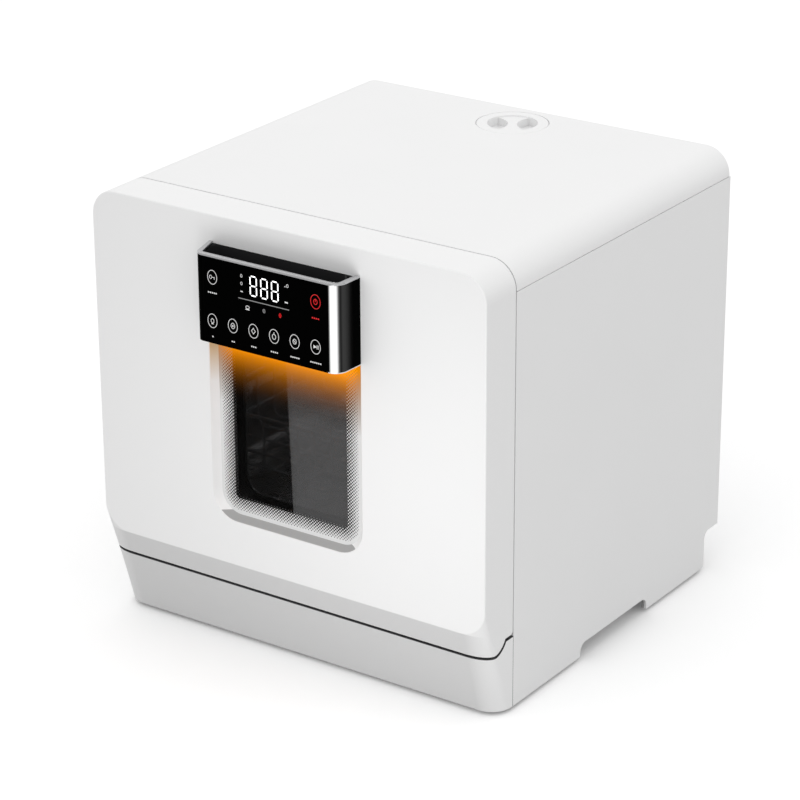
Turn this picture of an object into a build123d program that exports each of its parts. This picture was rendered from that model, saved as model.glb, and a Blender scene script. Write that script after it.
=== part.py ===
import os
from math import atan, cos, hypot, sqrt, tan

from build123d import *

os.makedirs("parts", exist_ok=True)

# Countertop dishwasher.  Millimetres, +Z up, the door faces -Y.
# The origin is on the worktop, under the middle of the whole machine.

# ---------------------------------------------------------------- overall size
width = 430.0
height = 430.0
body_depth = 421.0        # door face to the rear edges of the side panels
handle_reach = 31.0       # control bar in front of the door face
foot_height = 4.0
skin = 2.5                # moulded wall
fit = 0.3                 # clearance between neighbouring pieces
overshoot = 1.0           # how far a cut runs past the face that it opens
top_roll = 26.0           # radius of the long top edges
top_band = 27.0           # height of the top cover's skirt

half = width / 2
back_y = (body_depth + handle_reach) / 2
face_y = back_y - body_depth
handle_y = face_y - handle_reach
base_z = foot_height
top_seam_z = height - top_band

# ---------------------------------------------------------------- door outline
door_depth = 45.6
seam_gap = 1.5
crease_z = 90.0           # where the flat face turns into the slanted lower front
slant_run = 23.5          # how far the slanted front goes back down to the base
face_corner = 27.0        # lower corners of the flat face
foot_corner = 21.0        # the same corners in plan, at the base
edge_round = 1.2

door_back_y = face_y + door_depth
body_front_y = door_back_y + seam_gap
slant = atan(slant_run / (crease_z - base_z))

# ---------------------------------------------------------------- door hinge
pivot_inset = 16.0        # hinge axis behind the door face
pivot_z = 87.0
door_toe_radius = 20.0    # underside of the door, round the hinge axis
toe_gap = 2.7             # gap between the door's underside and the plinth
door_shelf_z = 77.6       # flat rear part of the door's underside
shelf_gap = 3.0
rear_chamfer = 2.0        # lets the rear lower edge of the door swing past the seam
pin_radius = 2.5
pin_clearance = 0.05
hinge_inset = 65.0        # hinge arms in from the sides
arm_thickness = 4.0
arm_eye_radius = 6.5
arm_bar = 10.0
arm_side_gap = 1.2
cheek_thickness = 6.0

pivot_y = face_y + pivot_inset
hinge_x = half - hinge_inset

# ---------------------------------------------------------------- tub and frame
frame_thickness = 2.5
tub_wall = 2.0
tub_side_room = 37.0      # tub to the outside of the cabinet: sides, top and back
tub_top_room = 26.0
tub_back_room = 86.0
tub_floor_z = 112.0
tub_corner = 20.0
tub_flange = 6.0
seal_width = 7.0
seal_height = 4.0

tub_half = half - tub_side_room
tub_top_z = height - tub_top_room
tub_back_y = back_y - tub_back_room
frame_back_y = body_front_y + frame_thickness
tub_front_y = frame_back_y + fit
tub_height = tub_top_z - tub_floor_z
tub_mid_z = (tub_top_z + tub_floor_z) / 2


def save(piece, name):
    piece.part.label = name
    export_step(piece.part, f"parts/{name}.step")


# ================================================================ shared outlines
def rolled_outline(half_width, low, high, radius):
    # front view of the cabinet: square foot, rounded top corners
    with BuildSketch(Plane.XY, mode=Mode.PRIVATE) as outline:
        with Locations((0, low)):
            Rectangle(2 * half_width, high - low, align=(Align.CENTER, Align.MIN))
        fillet(outline.vertices().group_by(Axis.Y)[-1], radius=radius)
    return outline.sketch


def front_block(inset, rear_y):
    # door and plinth as one block, set in by a wall thickness:
    # a flat face, a slanted lower front and lower corners that turn from one to the other
    block_half = half - inset
    front = face_y + inset
    crease = crease_z + inset * (1 / cos(slant) - 1) / tan(slant)
    toe = face_y + slant_run + inset / cos(slant)
    top = height - inset
    with BuildPart(mode=Mode.PRIVATE) as block:
        with BuildSketch(Plane.XZ.offset(-front)) as face_sketch:
            with Locations((0, crease)):
                Rectangle(2 * block_half, top - crease, align=(Align.CENTER, Align.MIN))
            fillet(face_sketch.vertices().group_by(Axis.Y)[0], radius=face_corner - inset)
        with BuildSketch(Plane.XY.offset(base_z)) as foot_sketch:
            with Locations((0, toe)):
                Rectangle(2 * block_half, rear_y - toe, align=(Align.CENTER, Align.MIN))
            fillet(foot_sketch.vertices().group_by(Axis.Y)[0], radius=foot_corner - inset)
        loft(ruled=True)
        with BuildSketch(Plane.YZ):
            Polygon((front, top), (rear_y, base_z), (rear_y, top), align=None)
        extrude(amount=block_half, both=True)
        with BuildSketch(Plane.XZ.offset(-front)):
            add(rolled_outline(block_half, base_z, top, top_roll - inset))
        extrude(amount=front - rear_y, mode=Mode.INTERSECT)
    return block.part


def above_parting(radius, shelf_z):
    # everything above the door's underside: flat, an arc round the hinge axis, flat
    arc_end_y = pivot_y + sqrt(radius**2 - (pivot_z - shelf_z) ** 2)
    far = width
    with BuildPart(mode=Mode.PRIVATE) as region:
        with BuildSketch(Plane.YZ):
            with BuildLine():
                low_line = Line((-far, pivot_z - radius), (pivot_y, pivot_z - radius))
                toe_arc = RadiusArc(low_line @ 1, (arc_end_y, shelf_z), -radius)
                Polyline(toe_arc @ 1, (far, shelf_z), (far, 2 * height),
                         (-far, 2 * height), low_line @ 0)
            make_face()
        extrude(amount=width, both=True)
    return region.part


# ================================================================ cabinet shells
side_top_z = top_seam_z - fit
carry_front_y = -32.0
carry_back_y = 89.0
carry_height = 12.6
carry_corner = 9.0
rear_notch_depth = 26.0
rear_notch_z = 42.0
rear_notch_corner = 8.5
side_flange = 10.0
back_recess = 1.0
back_thickness = 2.0
screw_count = 5
screw_low_z = 70.0
screw_top_gap = 40.0
screw_inset = 7.0
screw_radius = 1.9
screw_head = 3.6
screw_length = 9.0

rear_notch_y = back_y - rear_notch_depth
screw_pitch = (height - screw_top_gap - screw_low_z) / (screw_count - 1)
screw_rows = [screw_low_z + row * screw_pitch for row in range(screw_count)]
carry_z = base_z + carry_height
panel_half = half - skin - fit
back_face_y = back_y - back_recess
back_inner_y = back_face_y - back_thickness
flange_face_y = back_inner_y - fit
screw_x = panel_half - screw_inset

with BuildPart() as right_side_panel:
    with BuildSketch(Plane.YZ.offset(half)) as side_sketch:
        with BuildLine():
            Polyline(
                (body_front_y, base_z), (body_front_y, side_top_z), (back_y, side_top_z),
                (back_y, rear_notch_z), (rear_notch_y, rear_notch_z), (rear_notch_y, base_z),
                (carry_back_y, base_z), (carry_back_y, carry_z), (carry_front_y, carry_z),
                (carry_front_y, base_z), close=True,
            )
        make_face()
        carry_tops = side_sketch.vertices().filter_by_position(Axis.Y, carry_z - fit, carry_z + fit)
        fillet(carry_tops, radius=carry_corner)
        notch = side_sketch.vertices().filter_by_position(Axis.X, rear_notch_y - fit, rear_notch_y + fit)
        fillet(notch.sort_by(Axis.Y)[-1], radius=rear_notch_corner)
    extrude(amount=-skin)
    # upper flange under the top cover, and rear flange behind the back panel
    with BuildSketch(Plane.XY.offset(side_top_z)):
        with Locations((half - skin / 2, body_front_y + side_flange)):
            Rectangle(side_flange + skin / 2, flange_face_y - body_front_y - side_flange,
                      align=(Align.MAX, Align.MIN))
    extrude(amount=-skin)
    with BuildSketch(Plane.XZ.offset(-flange_face_y)):
        with Locations((half - skin / 2, rear_notch_z + side_flange)):
            Rectangle(side_flange + skin / 2, side_top_z - rear_notch_z - side_flange,
                      align=(Align.MAX, Align.MIN))
    extrude(amount=skin)
    for row_z in screw_rows:
        with Locations(Plane((screw_x, flange_face_y, row_z), z_dir=(0, 1, 0))):
            Hole(radius=screw_radius + pin_clearance, depth=skin + overshoot)
save(right_side_panel, "right_side_panel")

with BuildPart() as left_side_panel:
    mirror(right_side_panel.part, about=Plane.YZ)
save(left_side_panel, "left_side_panel")

# filler opening in the top cover
cap_inset = 46.5          # its centre in front of the rear edge
cap_radius = 35.2
cap_gap = 0.5
cover_edge = 3.0

cap_y = back_y - cap_inset
cover_low_z = top_seam_z + fit
with BuildPart() as top_cover:
    with BuildSketch(Plane.XZ.offset(-body_front_y)):
        add(rolled_outline(half, cover_low_z, height, top_roll))
    extrude(amount=body_front_y - back_y)
    fillet(top_cover.edges().group_by(Axis.Y)[-1].group_by(Axis.Z)[-1], radius=cover_edge)
    with BuildSketch(Plane.XZ.offset(-(back_y - skin))):
        add(rolled_outline(half - skin, cover_low_z - overshoot, height - skin, top_roll - skin))
    extrude(amount=back_y - skin - body_front_y + overshoot, mode=Mode.SUBTRACT)
    with Locations((0, cap_y, height)):
        Hole(radius=cap_radius + cap_gap, depth=2 * skin)
save(top_cover, "top_cover")

# base tray: a raised floor with a skirt below it and a low wall above it
tray_floor = 3.0
tray_floor_z = 20.0
tray_wall_z = 60.0
tray_clear = 0.5
foot_radius = 12.0
foot_boss = 15.0
foot_side_inset = 33.0
foot_front_inset = 75.0
foot_rear_inset = 61.0
post_radius = 8.0
post_side_inset = 18.0
post_rear_inset = 35.0

tray_front_y = body_front_y + fit
tray_back_y = rear_notch_y - fit
tray_depth = tray_back_y - tray_front_y
foot_x = half - foot_side_inset
foot_front_y = face_y + foot_front_inset
foot_rear_y = back_y - foot_rear_inset
post_x = tub_half - post_side_inset
post_y = tub_back_y - post_rear_inset
feet_places = [(x, y) for x in (-foot_x, foot_x) for y in (foot_front_y, foot_rear_y)]
post_places = [(x, y) for x in (-post_x, post_x) for y in (-post_y, post_y)]
tub_under_z = tub_floor_z - tub_wall
spigot_radius = 4.0
spigot_depth = 6.0

# rear connections, in the notch under the back panel
port_z = 26.0
inlet_x = 60.0
drain_x = -60.0
gland_x = -130.0
inlet_radius = 13.2       # G 3/4 thread
inlet_length = 20.0
inlet_bore = 8.0
inlet_stem = 5.4
drain_radius = 9.5
drain_bore = 7.0
drain_length = 20.0
drain_stem = 5.4
gland_radius = 10.0
gland_bore = 3.7
gland_length = 14.0
gland_stem = 5.4
wall_hole_gap = 0.3

with BuildPart() as base_tray:
    with BuildSketch(Plane.XY.offset(base_z)):
        with Locations((0, tray_front_y)):
            Rectangle(2 * panel_half, tray_depth, align=(Align.CENTER, Align.MIN))
    extrude(amount=tray_wall_z - base_z)
    with BuildSketch(Plane.XY.offset(tray_floor_z)):
        with Locations((0, tray_front_y + skin)):
            Rectangle(2 * (panel_half - skin), tray_depth - 2 * skin, align=(Align.CENTER, Align.MIN))
    extrude(amount=tray_wall_z, mode=Mode.SUBTRACT)
    with BuildSketch(Plane.XY.offset(base_z)):
        with Locations((0, tray_front_y + skin)):
            Rectangle(2 * (panel_half - skin), tray_depth - 2 * skin, align=(Align.CENTER, Align.MIN))
    extrude(amount=tray_floor_z - tray_floor - base_z, mode=Mode.SUBTRACT)
    # shelf over the rear notch
    with BuildSketch(Plane.XY.offset(rear_notch_z)):
        with Locations((0, tray_back_y - skin)):
            Rectangle(2 * panel_half, flange_face_y - skin - fit - tray_back_y + skin,
                      align=(Align.CENTER, Align.MIN))
    extrude(amount=skin)
    # bosses over the feet and posts under the tub
    with BuildSketch(Plane.XY.offset(base_z)):
        with Locations(*feet_places):
            Circle(foot_boss)
            Circle(spigot_radius + fit, mode=Mode.SUBTRACT)
    extrude(amount=tray_floor_z - tray_floor - base_z)
    with BuildSketch(Plane.XY.offset(tray_floor_z)):
        with Locations(*post_places):
            Circle(post_radius)
            Circle(post_radius - skin, mode=Mode.SUBTRACT)
    extrude(amount=tub_under_z - fit - tray_floor_z)
    # hand holds through the skirt on both sides
    with BuildSketch(Plane.YZ) as hold_sketch:
        with Locations(((carry_front_y + carry_back_y) / 2, base_z)):
            Rectangle(carry_back_y - carry_front_y, carry_height, align=(Align.CENTER, Align.MIN))
        fillet(hold_sketch.vertices().group_by(Axis.Y)[-1], radius=carry_corner)
    extrude(amount=width, both=True, mode=Mode.SUBTRACT)
    # holes for the water inlet, the drain and the cable gland
    for port_x, stem in ((inlet_x, inlet_stem), (drain_x, drain_stem), (gland_x, gland_stem)):
        with Locations(Plane((port_x, tray_back_y, port_z), z_dir=(0, 1, 0))):
            Hole(radius=stem + wall_hole_gap, depth=skin + overshoot)
save(base_tray, "base_tray")

with BuildPart() as feet:
    with BuildSketch(Plane.XY):
        with Locations(*feet_places):
            Circle(foot_radius)
    extrude(amount=foot_height - fit)
    chamfer(feet.edges().group_by(Axis.Z)[0], length=foot_height / 4)
    with BuildSketch(Plane.XY.offset(foot_height - fit)):
        with Locations(*feet_places):
            Circle(spigot_radius)
    extrude(amount=spigot_depth)
save(feet, "feet")

plinth_back_y = body_front_y
plinth_outer = front_block(0, plinth_back_y)
plinth_inner = front_block(skin, plinth_back_y + overshoot)
plinth_top_radius = door_toe_radius + toe_gap
plinth_shelf_z = door_shelf_z - shelf_gap
over_plinth = above_parting(plinth_top_radius, plinth_shelf_z)
over_plinth_wall = above_parting(plinth_top_radius + skin, plinth_shelf_z - skin)
with BuildPart(mode=Mode.PRIVATE) as plinth_hollow:
    add(plinth_inner)
    add(over_plinth_wall, mode=Mode.SUBTRACT)
with BuildPart() as front_plinth:
    add(plinth_outer)
    add(over_plinth, mode=Mode.SUBTRACT)
    add(plinth_hollow.part, mode=Mode.SUBTRACT)
save(front_plinth, "front_plinth")

# back panel with two fields of vent slots
vent_length = 56.0
vent_height = 4.0
vent_pitch = 10.0
vent_rows = 7
vent_x = 110.0
vent_z = 96.0

back_low_z = rear_notch_z + fit
back_top_z = cover_low_z - 2 * fit
with BuildPart() as back_panel:
    with BuildSketch(Plane.XZ.offset(-back_face_y)):
        with Locations((0, back_low_z)):
            Rectangle(2 * panel_half, back_top_z - back_low_z, align=(Align.CENTER, Align.MIN))
        with Locations((-vent_x, vent_z), (vent_x, vent_z)):
            with GridLocations(0, vent_pitch, 1, vent_rows):
                SlotOverall(vent_length, vent_height, mode=Mode.SUBTRACT)
        with Locations(*[(x, z) for x in (-screw_x, screw_x) for z in screw_rows]):
            Circle(screw_radius + pin_clearance, mode=Mode.SUBTRACT)
    extrude(amount=back_thickness)
save(back_panel, "back_panel")

with BuildPart() as back_screws:
    with BuildSketch(Plane.XZ.offset(-back_face_y)):
        with Locations(*[(x, z) for x in (-screw_x, screw_x) for z in screw_rows]):
            Circle(screw_head)
    extrude(amount=-back_recess)
    with BuildSketch(Plane.XZ.offset(-back_face_y)):
        with Locations(*[(x, z) for x in (-screw_x, screw_x) for z in screw_rows]):
            Circle(screw_radius)
    extrude(amount=screw_length)
save(back_screws, "back_screws")

# ================================================================ front frame, tub, seal
arm_slot_width = arm_thickness + 2 * fit
arm_slot_height = arm_bar + 2 * fit
frame_low_z = plinth_shelf_z + 2 * fit
latch_slot_width = 20.0
latch_slot_drop = 22.0     # from the top of the machine
latch_slot_height = 16.0

with BuildPart() as front_frame:
    with BuildSketch(Plane.XZ.offset(-body_front_y)):
        add(rolled_outline(panel_half, frame_low_z, height - skin - fit, top_roll - skin - fit))
        with Locations((0, tub_mid_z)):
            RectangleRounded(2 * tub_half, tub_height, tub_corner, mode=Mode.SUBTRACT)
        with Locations((-hinge_x, pivot_z), (hinge_x, pivot_z)):
            Rectangle(arm_slot_width, arm_slot_height, mode=Mode.SUBTRACT)
        with Locations((0, height - latch_slot_drop)):
            Rectangle(latch_slot_width, latch_slot_height, align=(Align.CENTER, Align.MIN),
                      mode=Mode.SUBTRACT)
    extrude(amount=-frame_thickness)
save(front_frame, "front_frame")

with BuildPart() as door_seal:
    with BuildSketch(Plane.XZ.offset(-body_front_y)):
        with Locations((0, tub_mid_z)):
            RectangleRounded(2 * (tub_half + fit + seal_width), tub_height + 2 * (fit + seal_width),
                             tub_corner + fit + seal_width)
            RectangleRounded(2 * (tub_half + fit), tub_height + 2 * fit, tub_corner + fit,
                             mode=Mode.SUBTRACT)
    extrude(amount=seal_height)
    fillet(door_seal.faces().sort_by(Axis.Y)[0].edges(), radius=seal_height / 3)
save(door_seal, "door_seal")

# rollers of the rack, on axles in the tub's side walls
roller_radius = 9.0
roller_width = 7.0
roller_setback = 37.9      # behind the front of the cabinet
roller_spacing = 40.0
roller_rise = 66.0        # above the tub's floor
roller_wall_gap = 9.5
axle_radius = 2.5
axle_clearance = 0.06
# wash arm and sump
wash_y = 0.0
sump_hole = 42.0

roller_front_y = body_front_y + roller_setback
roller_rear_y = roller_front_y + roller_spacing
roller_z = tub_floor_z + roller_rise
roller_x = tub_half - roller_wall_gap
tub_length = tub_back_y + tub_wall - tub_front_y
with BuildPart() as tub:
    with BuildSketch(Plane.XZ.offset(-tub_front_y)):
        with Locations((0, tub_mid_z)):
            RectangleRounded(2 * (tub_half + tub_wall), tub_height + 2 * tub_wall, tub_corner + tub_wall)
    extrude(amount=-tub_length)
    with BuildSketch(Plane.XZ.offset(-tub_front_y)):
        with Locations((0, tub_mid_z)):
            RectangleRounded(2 * (tub_half + tub_flange), tub_height + 2 * tub_flange,
                             tub_corner + tub_flange)
    extrude(amount=-tub_wall)
    with BuildSketch(Plane.XZ.offset(-tub_front_y)):
        with Locations((0, tub_mid_z)):
            RectangleRounded(2 * tub_half, tub_height, tub_corner)
    extrude(amount=-(tub_length - tub_wall), mode=Mode.SUBTRACT)
    inner_back = tub.faces().filter_by(Axis.Y).sort_by(Axis.Y)[-2]
    fillet(inner_back.edges(), radius=tub_corner / 2)
    with Locations((0, wash_y, tub_floor_z)):
        Hole(radius=sump_hole, depth=2 * tub_wall)
    # axle stubs for the rack rollers
    with BuildSketch(Plane.YZ.offset(tub_half + tub_wall / 2)):
        with Locations((roller_front_y, roller_z), (roller_rear_y, roller_z)):
            Circle(axle_radius)
    extrude(amount=-(tub_half + tub_wall / 2 - roller_x + roller_width / 2))
    with BuildSketch(Plane.YZ.offset(-tub_half - tub_wall / 2)):
        with Locations((roller_front_y, roller_z), (roller_rear_y, roller_z)):
            Circle(axle_radius)
    extrude(amount=tub_half + tub_wall / 2 - roller_x + roller_width / 2)
save(tub, "tub")

wrap_thickness = 3.0
wrap_setback = 22.9
wrap_start_y = body_front_y + wrap_setback
wrap_inner = tub_half + tub_wall + fit
wrap_top = tub_top_z + tub_wall + fit
with BuildPart() as insulation_wrap:
    with BuildSketch(Plane.XZ.offset(-wrap_start_y)):
        add(rolled_outline(wrap_inner + wrap_thickness, tub_floor_z, wrap_top + wrap_thickness,
                           tub_corner + tub_wall + wrap_thickness))
        add(rolled_outline(wrap_inner, tub_floor_z, wrap_top, tub_corner + tub_wall),
            mode=Mode.SUBTRACT)
    extrude(amount=wrap_start_y - tub_back_y)
save(insulation_wrap, "insulation_wrap")

# ================================================================ hinge hardware
arm_foot_width = 26.0
arm_foot_height = 20.0
arm_foot = 3.0

arm_foot_y = frame_back_y + fit
with BuildPart() as hinge_arms:
    with BuildSketch(Plane.YZ.offset(hinge_x)):
        with Locations((pivot_y, pivot_z)):
            Circle(arm_eye_radius)
            Rectangle(arm_foot_y + arm_foot - pivot_y, arm_bar, align=(Align.MIN, Align.CENTER))
            Circle(pin_radius + pin_clearance, mode=Mode.SUBTRACT)
    extrude(amount=arm_thickness / 2, both=True)
    with BuildSketch(Plane.XZ.offset(-arm_foot_y)):
        with Locations((hinge_x, pivot_z)):
            Rectangle(arm_foot_width, arm_foot_height)
    extrude(amount=-arm_foot)
    mirror(about=Plane.YZ)
save(hinge_arms, "hinge_arms")

notch_half = arm_thickness / 2 + arm_side_gap
pin_half = notch_half + cheek_thickness
with BuildPart() as hinge_pins:
    with BuildSketch(Plane.YZ.offset(hinge_x)):
        with Locations((pivot_y, pivot_z)):
            Circle(pin_radius)
    extrude(amount=pin_half, both=True)
    mirror(about=Plane.YZ)
save(hinge_pins, "hinge_pins")

# ================================================================ door
recess_half = 84.3        # window recess at the door face
recess_low_z = 134.0
recess_drop = 78.0        # its upper edge below the top of the machine
recess_corner = 27.0
recess_depth = 7.0
recess_draft = 5.5        # how far its walls lean in down to the glass
glass_thickness = 4.0
glass_margin = 6.0
liner_thickness = 2.0
liner_back_gap = 0.3      # liner to door seal

recess_top_z = height - recess_drop
recess_mid_z = (recess_low_z + recess_top_z) / 2
recess_height = recess_top_z - recess_low_z
glass_front_y = face_y + recess_depth
glass_back_y = glass_front_y + glass_thickness
liner_back_y = body_front_y - seal_height - liner_back_gap
liner_front_y = liner_back_y - liner_thickness
cavity_top_z = door_shelf_z + skin
notch_reach = arm_eye_radius + overshoot
cheek_top_z = pivot_z + 2 * arm_eye_radius

door_outer = front_block(0, door_back_y)
door_inner = front_block(skin, door_back_y + overshoot)
over_door = above_parting(door_toe_radius, door_shelf_z)
over_door_wall = above_parting(door_toe_radius - skin, cavity_top_z)

with BuildPart(mode=Mode.PRIVATE) as door_hollow:
    add(door_inner)
    add(over_door_wall, mode=Mode.INTERSECT)


def recess_outline(margin):
    # outline of the window recess, grown outwards by a margin
    with BuildSketch(Plane.XY, mode=Mode.PRIVATE) as outline:
        with Locations((0, recess_mid_z)):
            RectangleRounded(2 * (recess_half + margin), recess_height + 2 * margin,
                             recess_corner + margin)
    return outline.sketch


# solid ribs beside the hinge arms
with BuildPart(mode=Mode.PRIVATE) as hinge_cheeks:
    add(door_outer)
    add(over_door, mode=Mode.INTERSECT)
    with BuildSketch(Plane.XZ.offset(-liner_front_y + fit)):
        for side in (-1, 1):
            with Locations((side * hinge_x, door_shelf_z - door_toe_radius)):
                Rectangle(2 * pin_half, cheek_top_z - door_shelf_z + door_toe_radius,
                          align=(Align.CENTER, Align.MIN))
    extrude(amount=door_depth, mode=Mode.INTERSECT)

with BuildPart() as door_shell:
    add(door_outer)
    add(over_door, mode=Mode.INTERSECT)
    rim_edges = door_shell.faces().sort_by(Axis.Y)[0].edges()
    fillet(rim_edges, radius=edge_round)
    chamfer(door_shell.faces().sort_by(Axis.Y)[-1].edges().sort_by(Axis.Z)[0], length=rear_chamfer)
    add(door_hollow.part, mode=Mode.SUBTRACT)
    add(hinge_cheeks.part)
    # window recess: walls that lean in from the face down to the glass
    with BuildSketch(Plane.XZ.offset(-face_y - skin / 2)):
        add(recess_outline(skin))
    extrude(amount=-(recess_depth - skin / 2))
    with BuildSketch(Plane.XZ.offset(-face_y)):
        add(recess_outline(0))
    with BuildSketch(Plane.XZ.offset(-glass_front_y)):
        add(recess_outline(-recess_draft))
    loft(ruled=True, mode=Mode.SUBTRACT)
    # notches for the hinge arms, open to the rear and below
    for side in (-1, 1):
        with BuildSketch(Plane.YZ.offset(side * hinge_x)):
            with Locations((pivot_y - notch_reach, pivot_z + notch_reach)):
                Rectangle(door_depth, door_depth, align=(Align.MIN, Align.MAX))
        extrude(amount=notch_half, both=True, mode=Mode.SUBTRACT)
        with BuildSketch(Plane.YZ.offset(side * hinge_x)):
            with Locations((pivot_y, pivot_z)):
                Circle(pin_radius + pin_clearance)
        extrude(amount=pin_half + overshoot, both=True, mode=Mode.SUBTRACT)
save(door_shell, "door_shell")

liner_half = half - skin - fit
liner_low_z = cavity_top_z + fit
liner_high_z = height - skin - fit
liner_return = 8.0
liner_wall = 1.5
view_side_margin = 8.3    # opening through the liner, inside the recess
view_margin = 12.0
view_corner = 18.0
inner_glass_thickness = 3.0
inner_glass_margin = 6.0
# detergent cup in the liner, right of the window
cup_x = 132.0
cup_z = 268.0
cup_width = 76.0
cup_height = 60.0
cup_depth = 26.8
cup_proud = 11.0
cup_wall = 2.0
lid_thickness = 2.5
lid_rail = 3.0

view_half = recess_half - view_side_margin
view_height = recess_height - 2 * view_margin
view_mid_z = recess_mid_z

with BuildPart() as door_liner:
    with BuildSketch(Plane.XZ.offset(-liner_back_y)):
        add(rolled_outline(liner_half, liner_low_z, liner_high_z, top_roll - skin - fit))
    extrude(amount=liner_thickness + liner_return)
    with BuildSketch(Plane.XZ.offset(-liner_front_y)):
        add(rolled_outline(liner_half - liner_wall, liner_low_z + liner_wall,
                           liner_high_z - liner_wall, top_roll - skin - fit - liner_wall))
    extrude(amount=liner_return + overshoot, mode=Mode.SUBTRACT)
    with BuildSketch(Plane.XZ.offset(-liner_back_y)):
        with Locations((0, view_mid_z)):
            RectangleRounded(2 * view_half, view_height, view_corner)
        with Locations((cup_x, cup_z)):
            Rectangle(cup_width + 2 * fit, cup_height + 2 * fit)
        # room for the hinge arms and their cheeks
        for side in (-1, 1):
            with Locations((side * hinge_x, liner_low_z - overshoot)):
                Rectangle(2 * (pin_half + fit), cheek_top_z + fit - liner_low_z + overshoot,
                          align=(Align.CENTER, Align.MIN))
    extrude(amount=liner_thickness + liner_return, mode=Mode.SUBTRACT)
save(door_liner, "door_liner")

with BuildPart() as window_glass:
    with BuildSketch(Plane.XZ.offset(-glass_front_y)):
        add(recess_outline(glass_margin - recess_draft))
    extrude(amount=-glass_thickness)
save(window_glass, "window_glass")

inner_glass_y = liner_front_y - inner_glass_thickness
with BuildPart() as inner_glass:
    with BuildSketch(Plane.XZ.offset(-inner_glass_y)):
        with Locations((0, view_mid_z)):
            RectangleRounded(2 * (view_half + inner_glass_margin), view_height + 2 * inner_glass_margin,
                             view_corner + inner_glass_margin)
    extrude(amount=-inner_glass_thickness)
save(inner_glass, "inner_glass")

# black sleeve between the two panes
sleeve_wall = 3.0
with BuildPart() as window_sleeve:
    with BuildSketch(Plane.XZ.offset(-glass_back_y)):
        with Locations((0, view_mid_z)):
            RectangleRounded(2 * (view_half + sleeve_wall), view_height + 2 * sleeve_wall,
                             view_corner + sleeve_wall)
            RectangleRounded(2 * view_half, view_height, view_corner, mode=Mode.SUBTRACT)
    extrude(amount=glass_back_y - inner_glass_y)
save(window_sleeve, "window_sleeve")

cup_back_y = liner_back_y + cup_proud
cup_front_y = cup_back_y - cup_depth
with BuildPart() as detergent_cup:
    with BuildSketch(Plane.XZ.offset(-cup_front_y)):
        with Locations((cup_x, cup_z)):
            Rectangle(cup_width, cup_height)
    extrude(amount=cup_front_y - cup_back_y)
    fillet(detergent_cup.edges().filter_by(Axis.Y), radius=cup_wall)
    with BuildSketch(Plane.XZ.offset(-cup_back_y)):
        with Locations((cup_x + cup_width / 4 - cup_wall, cup_z)):
            RectangleRounded(cup_width / 2 - cup_wall, cup_height - 4 * cup_wall, 3 * cup_wall)
    extrude(amount=cup_back_y - cup_front_y - cup_wall, mode=Mode.SUBTRACT)
    # shallow tray for the prewash powder under the lid's open position
    with BuildSketch(Plane.XZ.offset(-cup_back_y)):
        with Locations((cup_x - cup_width / 4 + cup_wall, cup_z)):
            RectangleRounded(cup_width / 2 - 3 * cup_wall, cup_height - 6 * cup_wall, 2 * cup_wall)
    extrude(amount=2 * cup_wall, mode=Mode.SUBTRACT)
    # rails along the top and bottom edges, hooked over the lid
    for side in (-1, 1):
        with BuildSketch(Plane.YZ.offset(cup_x)):
            with Locations((cup_back_y, cup_z + side * (cup_height / 2 - cup_wall / 2))):
                Rectangle(lid_thickness + 2 * fit + cup_wall, cup_wall,
                          align=(Align.MIN, Align.CENTER))
            with Locations((cup_back_y + lid_thickness + 2 * fit,
                            cup_z + side * (cup_height / 2 - (cup_wall + lid_rail) / 2))):
                Rectangle(cup_wall, cup_wall + lid_rail, align=(Align.MIN, Align.CENTER))
        extrude(amount=cup_width / 2 - cup_wall, both=True)
save(detergent_cup, "detergent_cup")

lid_width = cup_width / 2
lid_height = cup_height - 2 * cup_wall - 2 * fit
with BuildPart() as detergent_lid:
    with BuildSketch(Plane.XZ.offset(-cup_back_y - fit)):
        with Locations((cup_x + cup_width / 4 - cup_wall / 2, cup_z)):
            Rectangle(lid_width - cup_wall, lid_height)
    extrude(amount=-lid_thickness)
    with BuildSketch(Plane.XZ.offset(-cup_back_y - fit - lid_thickness)):
        with Locations((cup_x + cup_wall, cup_z)):
            RectangleRounded(2 * lid_rail, lid_height / 2, cup_wall)
    extrude(amount=-2 * cup_wall)
save(detergent_lid, "detergent_lid")

# striker on the liner and its keeper above the tub
striker_width = 12.0
striker_drop = 16.5
striker_thickness = 4.5
striker_reach = 20.0
latch_width = 44.0
latch_depth = 26.0
latch_wall = 2.0

striker_low_z = height - striker_drop
striker_high_z = striker_low_z + striker_thickness
striker_plate_z = tub_top_z + 2 * fit + seal_width
with BuildPart() as door_striker:
    with BuildSketch(Plane.YZ):
        with Locations((liner_back_y, striker_low_z)):
            Rectangle(striker_reach, striker_high_z - striker_low_z, align=(Align.MIN, Align.MIN))
        with Locations((liner_back_y + striker_reach, striker_high_z)):
            Rectangle(latch_wall * 2, latch_wall, align=(Align.MAX, Align.MIN))
    extrude(amount=striker_width / 2, both=True)
    with BuildSketch(Plane.XZ.offset(-liner_back_y)):
        with Locations((0, striker_plate_z)):
            Rectangle(2 * striker_width, liner_high_z - fit - striker_plate_z,
                      align=(Align.CENTER, Align.MIN))
    extrude(amount=-latch_wall)
save(door_striker, "door_striker")

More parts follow.
